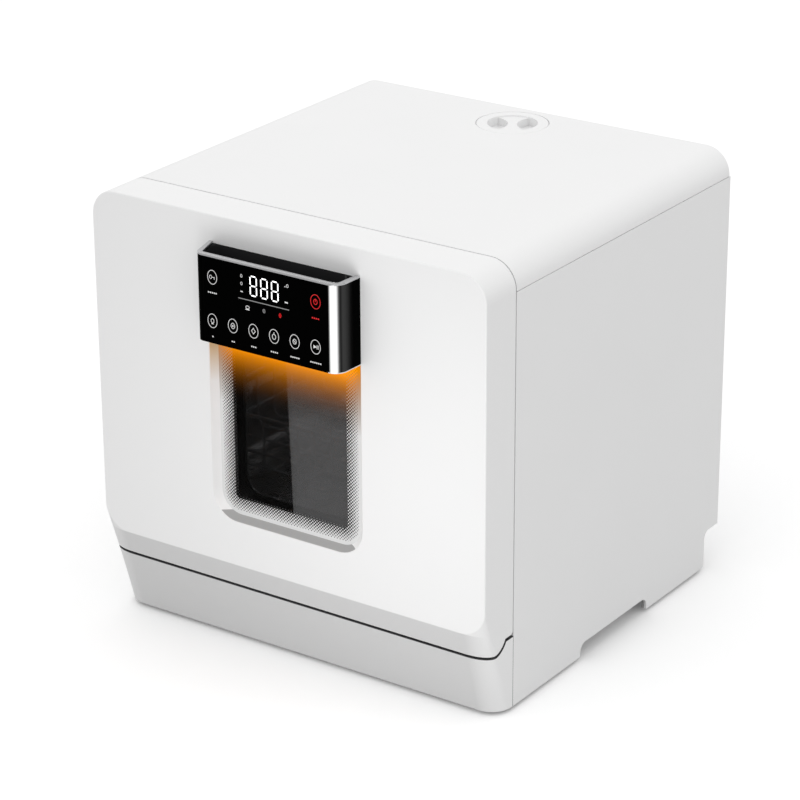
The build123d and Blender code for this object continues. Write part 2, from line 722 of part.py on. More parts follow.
latch_low = tub_top_z + tub_flange + fit
latch_high = height - skin - 2 * fit
with BuildPart() as latch_housing:
    with BuildSketch(Plane.XZ.offset(-frame_back_y - fit)):
        with Locations((0, latch_low)):
            Rectangle(latch_width, latch_high - latch_low, align=(Align.CENTER, Align.MIN))
    extrude(amount=-latch_depth)
    with BuildSketch(Plane.XZ.offset(-frame_back_y - fit)):
        with Locations((0, (latch_low + latch_high) / 2)):
            Rectangle(latch_slot_width, latch_high - latch_low - 2 * latch_wall)
    extrude(amount=-(latch_depth - latch_wall), mode=Mode.SUBTRACT)
    fillet(latch_housing.edges().filter_by(Axis.Y).group_by(Axis.X)[0], radius=latch_wall)
    fillet(latch_housing.edges().filter_by(Axis.Y).group_by(Axis.X)[-1], radius=latch_wall)
save(latch_housing, "latch_housing")

# ================================================================ control bar on the door
bar_left = -79.8
bar_right = 84.5
bar_drop = 24.5           # its upper edge below the top of the machine
bar_size = 83.5
bar_draft = 1.5           # how far its right side leans in towards the front
bar_left_draft = 8.5
bar_corner = 11.5
bar_left_corner = 7.5
trim_height = 2.2
trim_width = 4.0
rim_back_y = 1.5          # wall behind the finger scoop
touch_glass_thickness = 1.6
touch_set_back = 0.2
touch_inset = 2.0
touch_side = 1.0
circuit_depth = 6.0
circuit_wall = 1.4
circuit_drop = 6.0        # the electronics end below the scoop's lead-in
scoop_floor_rise = 30.0
scoop_corner = 7.0
scoop_lead = 7.0
strip_height = 3.0

bar_x = (bar_left + bar_right) / 2
bar_half = (bar_right - bar_left) / 2
front_left = bar_left + bar_left_draft
front_right = bar_right - bar_draft
front_x = (front_left + front_right) / 2
lead_half = (front_right - front_left) / 2 - trim_width - bar_corner
bar_high_z = height - bar_drop
bar_low_z = bar_high_z - bar_size
bar_top_z = bar_high_z - trim_height
bar_height = bar_top_z - bar_low_z
scoop_floor_z = bar_low_z + scoop_floor_rise
touch_back_y = handle_y + touch_set_back + touch_glass_thickness
circuit_back_y = touch_back_y + circuit_depth
scoop_front_y = circuit_back_y + circuit_wall
scoop_back_y = face_y - rim_back_y
rim_front_y = handle_y + trim_width
touch_left = front_left + bar_left_corner + touch_side
touch_right = front_right - bar_corner - touch_side
touch_x = (touch_left + touch_right) / 2
touch_half = (touch_right - touch_left) / 2
touch_low_z = bar_low_z + touch_inset
touch_high_z = bar_top_z - touch_inset
circuit_low_z = touch_low_z + touch_inset
circuit_height = touch_high_z - circuit_drop - circuit_low_z
circuit_mid_z = circuit_low_z + circuit_height / 2


def bar_outline(inset, front_inset):
    # plan of the control bar: wide against the door, drafted sides, rounded front corners
    with BuildSketch(Plane.XY, mode=Mode.PRIVATE) as outline:
        Polygon(
            (bar_left + inset, face_y), (front_left + inset, handle_y + front_inset),
            (front_right - inset, handle_y + front_inset), (bar_right - inset, face_y),
            align=None,
        )
        front_corners = outline.vertices().group_by(Axis.Y)[0].sort_by(Axis.X)
        fillet(front_corners[0], radius=bar_left_corner - inset)
        fillet(front_corners[-1], radius=bar_corner - inset)
    return outline.sketch


def scoop_side(y, edge, draft):
    # x of the scoop's left or right side at a depth
    return edge + draft * (face_y - y) / handle_reach


bar_plan = bar_outline(0, 0)
scoop_plan = bar_outline(trim_width, trim_width)

with BuildPart() as handle_housing:
    with BuildSketch(Plane.XY.offset(bar_low_z)):
        add(bar_plan)
    extrude(amount=bar_height)
    # finger scoop, open at the top, with a lead-in along its front edge
    with BuildSketch(Plane.XY.offset(scoop_floor_z)) as scoop_sketch:
        Polygon(*[(scoop_side(y, edge, draft), y) for y, edge, draft in (
            (scoop_back_y, bar_left + trim_width, bar_left_draft),
            (scoop_front_y, bar_left + trim_width, bar_left_draft),
            (scoop_front_y, bar_right - trim_width, -bar_draft),
            (scoop_back_y, bar_right - trim_width, -bar_draft))], align=None)
        fillet(scoop_sketch.vertices(), radius=scoop_corner)
    extrude(amount=bar_top_z - scoop_floor_z, mode=Mode.SUBTRACT)
    with BuildSketch(Plane.YZ.offset(front_x)):
        Polygon((rim_front_y, bar_top_z), (scoop_front_y + overshoot, bar_top_z),
                (scoop_front_y + overshoot, bar_top_z - scoop_lead), (scoop_front_y, bar_top_z - scoop_lead),
                align=None)
    extrude(amount=lead_half, both=True, mode=Mode.SUBTRACT)
    # seat of the touch glass and the pocket for the electronics behind it
    with BuildSketch(Plane.XZ.offset(-handle_y)):
        with Locations((touch_x, (touch_low_z + touch_high_z) / 2)):
            RectangleRounded(2 * touch_half, touch_high_z - touch_low_z, touch_inset)
    extrude(amount=handle_y - touch_back_y, mode=Mode.SUBTRACT)
    with BuildSketch(Plane.XZ.offset(-touch_back_y)):
        with Locations((touch_x, circuit_mid_z)):
            RectangleRounded(2 * (touch_half - touch_inset), circuit_height, touch_inset)
    extrude(amount=-circuit_depth, mode=Mode.SUBTRACT)
    # slot for the light strip along the bottom
    with BuildSketch(Plane.XY.offset(bar_low_z)):
        with Locations((touch_x, (circuit_back_y + scoop_back_y) / 2)):
            RectangleRounded(2 * touch_half, scoop_back_y - circuit_back_y - 2 * touch_inset, touch_inset)
    extrude(amount=strip_height, mode=Mode.SUBTRACT)
save(handle_housing, "handle_housing")

glass_seat_gap = 0.15
with BuildPart() as touch_glass:
    with BuildSketch(Plane.XZ.offset(-handle_y - touch_set_back)):
        with Locations((touch_x, (touch_low_z + touch_high_z) / 2)):
            RectangleRounded(2 * (touch_half - glass_seat_gap),
                             touch_high_z - touch_low_z - 2 * glass_seat_gap, touch_inset)
    extrude(amount=-touch_glass_thickness)
save(touch_glass, "touch_glass")

with BuildPart() as panel_trim:
    with BuildSketch(Plane.XY.offset(bar_top_z)):
        add(bar_plan)
        add(scoop_plan, mode=Mode.SUBTRACT)
        with Locations((bar_x, face_y)):
            Rectangle(2 * bar_half, overshoot, mode=Mode.SUBTRACT)
    extrude(amount=trim_height)
    fillet(panel_trim.faces().sort_by(Axis.Z)[-1].edges(), radius=trim_height / 4)
save(panel_trim, "panel_trim")

with BuildPart() as light_strip:
    with BuildSketch(Plane.XY.offset(bar_low_z)):
        with Locations((touch_x, (circuit_back_y + scoop_back_y) / 2)):
            RectangleRounded(2 * (touch_half - fit),
                             scoop_back_y - circuit_back_y - 2 * touch_inset - 2 * fit, touch_inset)
    extrude(amount=strip_height - fit)
save(light_strip, "light_strip")

board_thickness = 1.6
board_gap = 2.8
display_x = 3.5
display_rise = 63.0
display_width = 36.0
display_height = 18.0
digit_depth = 2.4
key_x = (-54.6, -32.0, -9.4, 13.3, 35.9, 58.5)
key_rise = 21.5
key_radius = 4.0

display_z = bar_low_z + display_rise
key_z = bar_low_z + key_rise

with BuildPart() as control_board:
    with BuildSketch(Plane.XZ.offset(-touch_back_y - board_gap)):
        with Locations((touch_x, circuit_mid_z)):
            RectangleRounded(2 * (touch_half - touch_inset - fit), circuit_height - 2 * fit,
                             touch_inset)
    extrude(amount=-board_thickness)
    # touch springs between the board and the glass
    with BuildSketch(Plane.XZ.offset(-touch_back_y - fit)):
        with Locations(*[(x, key_z) for x in key_x], (key_x[0], display_z), (key_x[-1], display_z)):
            Circle(key_radius)
            Circle(key_radius - 2 * fit, mode=Mode.SUBTRACT)
    extrude(amount=-(board_gap - fit))
save(control_board, "control_board")

with BuildPart() as display_module:
    with BuildSketch(Plane.XZ.offset(-touch_back_y - board_gap + fit)):
        with Locations((display_x, display_z)):
            RectangleRounded(display_width, display_height, overshoot)
    extrude(amount=digit_depth - fit)
save(display_module, "display_module")

# ================================================================ rack
rack_side_gap = 23.0      # wires to the tub: sides, front, back
rack_front_gap = 25.9
rack_rear_gap = 28.0
rack_rise = 40.0          # levels above the tub's floor
rack_mid_rise = 59.0
rack_rim_rise = 95.0
wire_radius = 1.6
rim_radius = 2.0
wire_bend = 8.0
wire_sides = 6
weld = 1.0                # how far crossing wires sink into one another
rib_count = 9
lane_x = (-120.0, -80.0, -40.0, 0.0, 40.0, 80.0, 120.0)
tine_lanes = (-40.0, 0.0)
tine_radius = 1.5
tine_height = 55.0
tine_lean = 6.0
channel_gap = 0.4
channel_wall = 1.5
channel_lip = 13.0

rack_half = tub_half - rack_side_gap
rack_front_y = body_front_y + rack_front_gap
rack_rear_y = tub_back_y - rack_rear_gap
rack_low_z = tub_floor_z + rack_rise
rack_mid_z = tub_floor_z + rack_mid_rise
rack_rim_z = tub_floor_z + rack_rim_rise
rack_mid_y = (rack_front_y + rack_rear_y) / 2
rack_length = rack_rear_y - rack_front_y
rib_pitch = (rack_length - 2 * wire_bend) / (rib_count - 1)
lane_low_z = rack_low_z - 2 * wire_radius + weld


def wire_u(plane, points, radius):
    # a wire bent into a U through four points
    with BuildPart(mode=Mode.PRIVATE) as wire:
        with BuildLine(plane) as path:
            FilletPolyline(*points, radius=wire_bend)
        with BuildSketch(Plane(origin=path.line @ 0, z_dir=path.line % 0)):
            RegularPolygon(radius, side_count=wire_sides)
        sweep()
    return wire.part


ribs = []
for index in range(rib_count):
    rib_y = rack_front_y + wire_bend + index * rib_pitch
    ribs.append(wire_u(Plane.XZ.offset(-rib_y),
                       ((-rack_half, rack_rim_z), (-rack_half, rack_low_z),
                        (rack_half, rack_low_z), (rack_half, rack_rim_z)), wire_radius))
lanes = []
for lane in lane_x:
    lanes.append(wire_u(Plane.YZ.offset(lane),
                        ((rack_front_y, rack_rim_z), (rack_front_y, lane_low_z),
                         (rack_rear_y, lane_low_z), (rack_rear_y, rack_rim_z)), wire_radius))


def wire_loop(level, radius):
    # a closed wire round the basket at one height
    with BuildPart(mode=Mode.PRIVATE) as loop:
        with BuildSketch(Plane.XY.offset(level)):
            with Locations((0, rack_mid_y)):
                RectangleRounded(2 * (rack_half + weld), rack_length + 2 * weld, wire_bend)
        extrude(amount=radius)
    outline = loop.part.faces().sort_by(Axis.Z)[0].outer_wire()
    start = outline @ 0
    with BuildPart(mode=Mode.PRIVATE) as ring:
        with BuildSketch(Plane(origin=start, z_dir=outline % 0)):
            RegularPolygon(radius, side_count=wire_sides)
        sweep(path=outline)
    return ring.part


with BuildPart() as dish_rack:
    add(wire_loop(rack_rim_z, rim_radius))
    add(wire_loop(rack_mid_z, wire_radius))
    for wire in ribs + lanes:
        add(wire)
    for lane in tine_lanes:
        for index in range(rib_count - 1):
            tine_y = rack_front_y + wire_bend + (index + 0.5) * rib_pitch
            with BuildSketch(Plane(origin=(lane, tine_y, lane_low_z),
                                   z_dir=(0, tine_lean, tine_height))):
                RegularPolygon(tine_radius, side_count=wire_sides)
            extrude(amount=hypot(tine_lean, tine_height))
save(dish_rack, "dish_rack")

rail_inner = roller_radius + channel_gap
rail_web_x = rack_half + wire_radius + weld
with BuildPart() as rack_rails:
    with BuildSketch(Plane.XZ.offset(-rack_front_y + wire_radius)):
        with Locations((rail_web_x, roller_z)):
            Rectangle(channel_lip + channel_wall, 2 * (rail_inner + channel_wall),
                      align=(Align.MIN, Align.CENTER))
        with Locations((rail_web_x + channel_wall, roller_z)):
            Rectangle(channel_lip + channel_wall, 2 * rail_inner, align=(Align.MIN, Align.CENTER),
                      mode=Mode.SUBTRACT)
    extrude(amount=-rack_length)
    mirror(about=Plane.YZ)
save(rack_rails, "rack_rails")


def roller_pair(axle_y, name):
    with BuildPart() as pair:
        with BuildSketch(Plane.YZ.offset(roller_x)):
            with Locations((axle_y, roller_z)):
                Circle(roller_radius)
                Circle(axle_radius + axle_clearance, mode=Mode.SUBTRACT)
        extrude(amount=roller_width / 2, both=True)
        mirror(about=Plane.YZ)
    save(pair, name)


roller_pair(roller_front_y, "front_rollers")
roller_pair(roller_rear_y, "rear_rollers")

# ================================================================ wash arm, filter, sump
riser_radius = 7.5
riser_wall = 2.0
riser_gap = 0.06
riser_rise = 22.0         # above the tub's floor
arm_rise = 9.0
arm_height = 9.0
arm_margin = 5.0          # its tips to the tub's back wall
arm_hub = 17.0
arm_root = 24.0
arm_tip = 13.0
jet_radius = 1.4
jet_count = 5
jet_start = 38.0
jet_end_gap = 9.0
nut_radius = 12.0
nut_height = 7.0
filter_radius = 41.0
filter_cup = 30.0
filter_depth = 34.0
filter_wall = 1.5
sump_radius = 42.5
sump_flange = 54.0
sump_wall = 2.5
sump_low_z = 56.0
port_height = 68.0
suction_radius = 12.0
suction_x = 61.5
return_radius = 9.0
return_x = 60.0
drain_port_y = 62.0
fill_x = 32.0
fill_port_y = 45.0
hose_radius = 5.4

riser_top_z = tub_floor_z + riser_rise
arm_low_z = tub_floor_z + arm_rise
arm_reach = tub_back_y - wash_y - arm_margin
jet_pitch = (arm_reach - jet_end_gap - jet_start) / (jet_count - 1)
jet_spots = [jet_start + spot * jet_pitch for spot in range(jet_count)]

with BuildPart() as sump:
    with BuildSketch(Plane.XY.offset(sump_low_z)):
        with Locations((0, wash_y)):
            Circle(sump_radius)
    extrude(amount=tub_under_z - fit - sump_low_z)
    fillet(sump.edges().group_by(Axis.Z)[0], radius=2 * sump_wall)
    with BuildSketch(Plane.XY.offset(tub_under_z - fit)):
        with Locations((0, wash_y)):
            Circle(sump_flange)
    extrude(amount=-sump_wall)
    with BuildSketch(Plane.YZ):
        with Locations((wash_y, port_height)):
            Circle(suction_radius)
    extrude(amount=suction_x)
    with BuildSketch(Plane.YZ):
        with Locations((wash_y, port_height)):
            Circle(return_radius)
    extrude(amount=-return_x)
    with BuildSketch(Plane.XZ.offset(-wash_y)):
        with Locations((0, port_height)):
            Circle(return_radius)
    extrude(amount=-drain_port_y)
    with BuildSketch(Plane.XZ.offset(-wash_y)):
        with Locations((fill_x, port_height)):
            Circle(hose_radius)
    extrude(amount=-fill_port_y)
    with BuildSketch(Plane.XY.offset(sump_low_z + sump_wall)):
        with Locations((0, wash_y)):
            Circle(sump_radius - sump_wall)
    extrude(amount=tub_under_z - sump_low_z, mode=Mode.SUBTRACT)
    # riser that feeds the wash arm
    with BuildSketch(Plane.XY.offset(sump_low_z)):
        with Locations((0, wash_y)):
            Circle(riser_radius)
    extrude(amount=riser_top_z - sump_low_z)
    with BuildSketch(Plane.XY.offset(sump_low_z + 2 * sump_wall)):
        with Locations((0, wash_y)):
            Circle(riser_radius - riser_wall)
    extrude(amount=riser_top_z - sump_low_z, mode=Mode.SUBTRACT)
save(sump, "sump")

with BuildPart() as filter_basket:
    with BuildSketch(Plane.XY.offset(tub_floor_z - tub_wall)):
        with Locations((0, wash_y)):
            Circle(filter_radius)
    extrude(amount=tub_wall)
    with BuildSketch(Plane.XY.offset(tub_floor_z - tub_wall)):
        with Locations((0, wash_y)):
            Circle(filter_cup)
    extrude(amount=-filter_depth)
    with BuildSketch(Plane.XY.offset(tub_floor_z)):
        with Locations((0, wash_y)):
            Circle(filter_cup - filter_wall)
    extrude(amount=-(filter_depth + tub_wall - filter_wall), mode=Mode.SUBTRACT)
    with BuildSketch(Plane.XY.offset(tub_floor_z - tub_wall - filter_depth)):
        with Locations((0, wash_y)):
            Circle(riser_radius + fit + filter_wall)
    extrude(amount=arm_low_z - fit - tub_floor_z + tub_wall + filter_depth)
    with Locations((0, wash_y, arm_low_z)):
        Hole(radius=riser_radius + fit, depth=2 * filter_depth)
save(filter_basket, "filter_basket")

with BuildPart() as wash_arm:
    with BuildSketch(Plane.XY.offset(arm_low_z)) as arm_sketch:
        with Locations((0, wash_y)):
            Circle(arm_hub)
        for side in (-1, 1):
            with BuildLine():
                Polyline((0, wash_y - arm_root / 2), (side * arm_reach, wash_y - arm_tip / 2),
                         (side * arm_reach, wash_y + arm_tip / 2), (0, wash_y + arm_root / 2),
                         close=True)
            make_face()
        fillet(arm_sketch.vertices().group_by(Axis.X)[0], radius=arm_tip / 3)
        fillet(arm_sketch.vertices().group_by(Axis.X)[-1], radius=arm_tip / 3)
    extrude(amount=arm_height)
    fillet(wash_arm.faces().sort_by(Axis.Z)[-1].edges(), radius=arm_height / 4)
    fillet(wash_arm.faces().sort_by(Axis.Z)[0].edges(), radius=arm_height / 4)
    with Locations(*[(side * spot, wash_y + side * jet_radius, arm_low_z + arm_height)
                     for side in (-1, 1) for spot in jet_spots]):
        Hole(radius=jet_radius, depth=arm_height / 3)
    with Locations((0, wash_y, arm_low_z + arm_height)):
        Hole(radius=riser_radius + riser_gap, depth=2 * arm_height)
save(wash_arm, "wash_arm")

with BuildPart() as arm_nut:
    with BuildSketch(Plane.XY.offset(riser_top_z)):
        with Locations((0, wash_y)):
            RegularPolygon(nut_radius, side_count=6)
    extrude(amount=nut_height)
    fillet(arm_nut.faces().sort_by(Axis.Z)[-1].edges(), radius=nut_height / 4)
    with BuildSketch(Plane.XY.offset(arm_low_z + arm_height + fit)):
        with Locations((0, wash_y)):
            Circle(nut_radius - overshoot)
            Circle(riser_radius + pin_clearance, mode=Mode.SUBTRACT)
    extrude(amount=riser_top_z - arm_low_z - arm_height - fit)
save(arm_nut, "arm_nut")

# ================================================================ pumps and heater in the base
pump_seat_gap = 0.5
pump_volute = 34.0
pump_volute_depth = 24.0
pump_motor = 28.0
pump_motor_depth = 72.0
pump_leg = 4.0
pump_leg_width = 40.0
pump_outlet_y = -52.0
wash_hose_radius = 9.0
wash_hose_bore = 7.0
wash_hose_bend = 22.0
heater_y = -88.0
heater_half = 45.0
heater_radius = 16.0
heater_end = 6.0
heater_leg_x = 25.0
return_bend_x = -92.0
drain_volute = 20.0
drain_volute_depth = 18.0
drain_motor = 16.0
drain_motor_depth = 36.0
drain_outlet_x = -34.0
drain_hose_bend = 16.0
drain_drop_run = 33.0
drain_end_run = 24.0
stem_length = 17.7

pump_x = suction_x + pump_seat_gap
stem_end_y = tray_back_y - stem_length
drain_drop_y = stem_end_y - drain_end_run
drain_turn_y = drain_drop_y - drain_drop_run
tray_rest_z = tray_floor_z + fit
pump_outlet_x = pump_x + pump_volute_depth / 2

with BuildPart() as wash_pump:
    with BuildSketch(Plane.YZ.offset(pump_x)):
        with Locations((wash_y, port_height)):
            Circle(pump_volute)
    extrude(amount=pump_volute_depth)
    with BuildSketch(Plane.YZ.offset(pump_x + pump_volute_depth)):
        with Locations((wash_y, port_height)):
            Circle(pump_motor)
    extrude(amount=pump_motor_depth)
    fillet(wash_pump.edges().filter_by(GeomType.CIRCLE).group_by(Axis.X)[-1], radius=pump_leg)
    fillet(wash_pump.edges().filter_by(GeomType.CIRCLE).group_by(Axis.X)[0], radius=pump_leg)
    with BuildSketch(Plane.XZ.offset(-wash_y)):
        with Locations((pump_outlet_x, port_height)):
            Circle(wash_hose_radius)
    extrude(amount=wash_y - pump_outlet_y)
    # two feet on the tray
    for leg in (1, 3):
        with BuildSketch(Plane.YZ.offset(pump_x + pump_volute_depth + leg * pump_motor_depth / 4)):
            with Locations((wash_y, tray_rest_z)):
                Rectangle(pump_leg_width, port_height - tray_rest_z, align=(Align.CENTER, Align.MIN))
        extrude(amount=pump_leg)
save(wash_pump, "wash_pump")

with BuildPart() as water_heater:
    with BuildSketch(Plane.YZ.offset(-heater_half)):
        with Locations((heater_y, port_height)):
            Circle(wash_hose_radius)
    extrude(amount=2 * heater_half)
    with BuildSketch(Plane.YZ.offset(heater_end - heater_half)):
        with Locations((heater_y, port_height)):
            Circle(heater_radius)
    extrude(amount=2 * (heater_half - heater_end))
    fillet(water_heater.edges().filter_by(GeomType.CIRCLE).filter_by_position(
        Axis.X, heater_end - heater_half - fit, heater_end - heater_half + fit).sort_by(
        SortBy.LENGTH)[-1], radius=pump_leg)
    fillet(water_heater.edges().filter_by(GeomType.CIRCLE).filter_by_position(
        Axis.X, heater_half - heater_end - fit, heater_half - heater_end + fit).sort_by(
        SortBy.LENGTH)[-1], radius=pump_leg)
    for leg in (-heater_leg_x, heater_leg_x):
        with BuildSketch(Plane.YZ.offset(leg - pump_leg / 2)):
            with Locations((heater_y, tray_rest_z)):
                Rectangle(heater_radius, port_height - tray_rest_z, align=(Align.CENTER, Align.MIN))
        extrude(amount=pump_leg)
save(water_heater, "water_heater")


def hose_run(plane, points, bend, radius, bore):
    # a hose through points in one plane, with round bends
    with BuildPart(mode=Mode.PRIVATE) as run:
        with BuildLine(plane) as path:
            FilletPolyline(*points, radius=bend)
        with BuildSketch(Plane(origin=path.line @ 0, z_dir=path.line % 0)):
            Circle(radius)
            Circle(bore, mode=Mode.SUBTRACT)
        sweep()
    return run.part


port_plane = Plane.XY.offset(port_height)
with BuildPart() as wash_hose:
    add(hose_run(port_plane, ((pump_outlet_x, pump_outlet_y), (pump_outlet_x, heater_y),
                              (heater_half, heater_y)), wash_hose_bend,
                 wash_hose_radius, wash_hose_bore))
    add(hose_run(port_plane, ((-heater_half, heater_y), (return_bend_x, heater_y),
                              (return_bend_x, wash_y), (-return_x, wash_y)), wash_hose_bend,
                 wash_hose_radius, wash_hose_bore))
save(wash_hose, "wash_hose")

drain_mid_y = drain_port_y + drain_volute_depth / 2
with BuildPart() as drain_pump:
    with BuildSketch(Plane.XZ.offset(-drain_port_y)):
        with Locations((0, port_height)):
            Circle(drain_volute)
    extrude(amount=-drain_volute_depth)
    with BuildSketch(Plane.XZ.offset(-drain_port_y - drain_volute_depth)):
        with Locations((0, port_height)):
            Circle(drain_motor)
    extrude(amount=-drain_motor_depth)
    fillet(drain_pump.edges().filter_by(GeomType.CIRCLE).group_by(Axis.Y)[-1], radius=pump_leg)
    with BuildSketch(Plane.YZ):
        with Locations((drain_mid_y, port_height)):
            Circle(hose_radius)
    extrude(amount=drain_outlet_x)
    for leg in (1, 3):
        with BuildSketch(Plane.XZ.offset(-drain_port_y - drain_volute_depth
                                         - leg * drain_motor_depth / 4)):
            with Locations((0, tray_rest_z)):
                Rectangle(drain_motor, port_height - tray_rest_z, align=(Align.CENTER, Align.MIN))
        extrude(amount=-pump_leg)
save(drain_pump, "drain_pump")

hose_bore = 4.0
with BuildPart() as drain_hose:
    add(hose_run(port_plane, ((drain_outlet_x, drain_mid_y), (drain_x, drain_mid_y),
                              (drain_x, drain_turn_y)), drain_hose_bend, hose_radius, hose_bore))
    add(hose_run(Plane.YZ.offset(drain_x), ((drain_turn_y, port_height), (drain_drop_y, port_height),
                                            (drain_drop_y, port_z), (stem_end_y, port_z)),
                 drain_hose_bend, hose_radius, hose_bore))
save(drain_hose, "drain_hose")

# ================================================================ inlet, drain and gland
nut_flange = 15.3
nut_flange_depth = 4.0
valve_side = 10.0
valve_width = 54.0
valve_depth = 42.0
valve_high_z = 78.0
solenoid_radius = 11.0
solenoid_height = 22.0
thread_round = 1.0
gland_hex = 13.0
gland_hex_depth = 8.0
thread_relief = 1.0       # groove between the hexagon and the thread

valve_left = fill_x - valve_side
valve_front_y = stem_end_y - valve_depth


def wall_fitting(x, radius, length, bore, stem, hex_radius, hex_depth, relief, name):
    # a fitting on the tray's rear wall: hexagon, spigot and a stem that runs inside
    with BuildPart() as fitting:
        with BuildSketch(Plane.XZ.offset(-tray_back_y)):
            with Locations((x, port_z)):
                Circle(radius)
        extrude(amount=-length)
        chamfer(fitting.faces().sort_by(Axis.Y)[-1].edges(), length=thread_round)
        with BuildSketch(Plane.XZ.offset(-tray_back_y)):
            with Locations((x, port_z)):
                RegularPolygon(hex_radius, side_count=6)
        extrude(amount=-hex_depth)
        if relief:
            with BuildSketch(Plane.XZ.offset(-tray_back_y - hex_depth)):
                with Locations((x, port_z)):
                    Circle(hex_radius)
                    Circle(radius - relief, mode=Mode.SUBTRACT)
            extrude(amount=-relief, mode=Mode.SUBTRACT)
        with BuildSketch(Plane.XZ.offset(-tray_back_y)):
            with Locations((x, port_z)):
                Circle(stem)
        extrude(amount=tray_back_y - stem_end_y)
        with BuildSketch(Plane.XZ.offset(-tray_back_y - length)):
            with Locations((x, port_z)):
                Circle(bore)
        extrude(amount=length - hex_depth / 2, mode=Mode.SUBTRACT)
        with BuildSketch(Plane.XZ.offset(-tray_back_y - length)):
            with Locations((x, port_z)):
                Circle(min(bore, hose_bore))
        extrude(amount=length + tray_back_y - stem_end_y, mode=Mode.SUBTRACT)
    save(fitting, name)


wall_fitting(inlet_x, inlet_radius, inlet_length, inlet_bore, inlet_stem,
             nut_flange, nut_flange_depth, thread_relief, "inlet_connector")
wall_fitting(drain_x, drain_radius, drain_length, drain_bore, drain_stem,
             gland_hex, nut_flange_depth, 0, "drain_outlet")
wall_fitting(gland_x, gland_radius, gland_length, gland_bore, gland_stem,
             gland_hex, gland_hex_depth, 0, "power_gland")

with BuildPart() as inlet_valve:
    with BuildSketch(Plane.XY.offset(tray_rest_z)):
        with Locations((valve_left, valve_front_y)):
            Rectangle(valve_width, stem_end_y - valve_front_y, align=(Align.MIN, Align.MIN))
    extrude(amount=valve_high_z - tray_rest_z)
    fillet(inlet_valve.edges().filter_by(Axis.Z), radius=nut_flange_depth)
    with BuildSketch(Plane.XY.offset(valve_high_z)):
        with Locations((valve_left + valve_width / 2, (stem_end_y + valve_front_y) / 2)):
            Circle(solenoid_radius)
    extrude(amount=solenoid_height)
save(inlet_valve, "inlet_valve")

with BuildPart() as fill_hose:
    with BuildSketch(Plane.XZ.offset(-fill_port_y)):
        with Locations((fill_x, port_height)):
            Circle(hose_radius)
            Circle(hose_bore, mode=Mode.SUBTRACT)
    extrude(amount=fill_port_y - valve_front_y)
save(fill_hose, "fill_hose")

module_side_gap = 22.7    # to the tray's wall
module_hose_gap = 2.0
module_y = -50.0
module_depth = 78.0
module_height = 44.0
module_lip = 3.0
module_fins = 7
module_fin_pitch = 8.0

module_left = module_side_gap + skin - panel_half
module_right = return_bend_x - wash_hose_radius - module_hose_gap
module_width = module_right - module_left
module_x = (module_left + module_right) / 2

with BuildPart() as power_module:
    with BuildSketch(Plane.XY.offset(tray_rest_z)):
        with Locations((module_x, module_y)):
            RectangleRounded(module_width, module_depth, module_lip)
    extrude(amount=module_height)
    with BuildSketch(Plane.XY.offset(tray_rest_z + module_height)):
        with Locations((module_x, module_y)):
            RectangleRounded(module_width - 2 * module_lip, module_depth - 2 * module_lip, module_lip)
    extrude(amount=module_lip)
    with BuildSketch(Plane.XY.offset(tray_rest_z + module_height + module_lip)):
        with Locations((module_x, module_y)):
            with GridLocations(module_fin_pitch, 0, module_fins, 1):
                Rectangle(module_lip, module_depth / 2)
    extrude(amount=module_lip)
save(power_module, "power_module")

# ================================================================ water tank and filler
tank_side_gap = 8.0
tank_right = 95.0
tank_top_drop = 38.0
tank_corner = 14.0
tank_wall = 2.5
tank_gap = 0.6
neck_radius = 31.0
neck_bore = 27.4
neck_flange = 33.0
neck_flange_height = 2.0
cap_plate = 6.0
gasket_height = 1.9
cap_cup_radius = 27.0
cap_cup_depth = 12.0
cap_dish_radius = 24.6
cap_dish_depth = 1.2
cap_hollow_depth = 9.0
cap_hollow_radius = 24.0
cap_grip_half = 4.5
cap_grip_angle = 119.0
cap_wall = 2.4
cap_round = 0.6
bracket_inset = 40.0
bracket_width = 30.0
bracket_thickness = 3.0
bracket_reach = 50.0

tank_left = tank_side_gap - tub_half
tank_low_z = tub_under_z
tank_high_z = height - tank_top_drop
shelf_top_z = rear_notch_z + skin
tank_front_y = tub_back_y + tub_wall + tank_gap
tank_back_y = back_inner_y - tank_gap
cap_low_z = height - cap_plate
cap_cup_z = cap_low_z - cap_cup_depth
cap_hollow_z = height - cap_hollow_depth
bracket_x = (tank_left + bracket_inset, tank_right - bracket_inset)
neck_top_z = cap_low_z - gasket_height - 2 * fit

with BuildPart() as water_tank:
    with BuildSketch(Plane.XY.offset(tank_low_z)):
        with Locations(((tank_left + tank_right) / 2, (tank_front_y + tank_back_y) / 2)):
            RectangleRounded(tank_right - tank_left, tank_back_y - tank_front_y, tank_corner)
    extrude(amount=tank_high_z - tank_low_z)
    fillet(water_tank.faces().sort_by(Axis.Z)[-1].edges(), radius=tank_wall * 2)
    with BuildSketch(Plane.XY.offset(tank_high_z - tank_wall)):
        with Locations((0, cap_y)):
            Circle(neck_radius)
    extrude(amount=neck_top_z - tank_high_z + tank_wall)
    with BuildSketch(Plane.XY.offset(neck_top_z)):
        with Locations((0, cap_y)):
            Circle(neck_flange)
    extrude(amount=-neck_flange_height)
    with BuildSketch(Plane.XY.offset(tank_low_z + tank_wall)):
        with Locations(((tank_left + tank_right) / 2, (tank_front_y + tank_back_y) / 2)):
            RectangleRounded(tank_right - tank_left - 2 * tank_wall,
                             tank_back_y - tank_front_y - 2 * tank_wall, tank_corner - tank_wall)
    extrude(amount=tank_high_z - tank_low_z - 2 * tank_wall, mode=Mode.SUBTRACT)
    with Locations((0, cap_y, neck_top_z)):
        Hole(radius=neck_bore, depth=neck_top_z - tank_high_z + 2 * tank_wall)
save(water_tank, "water_tank")

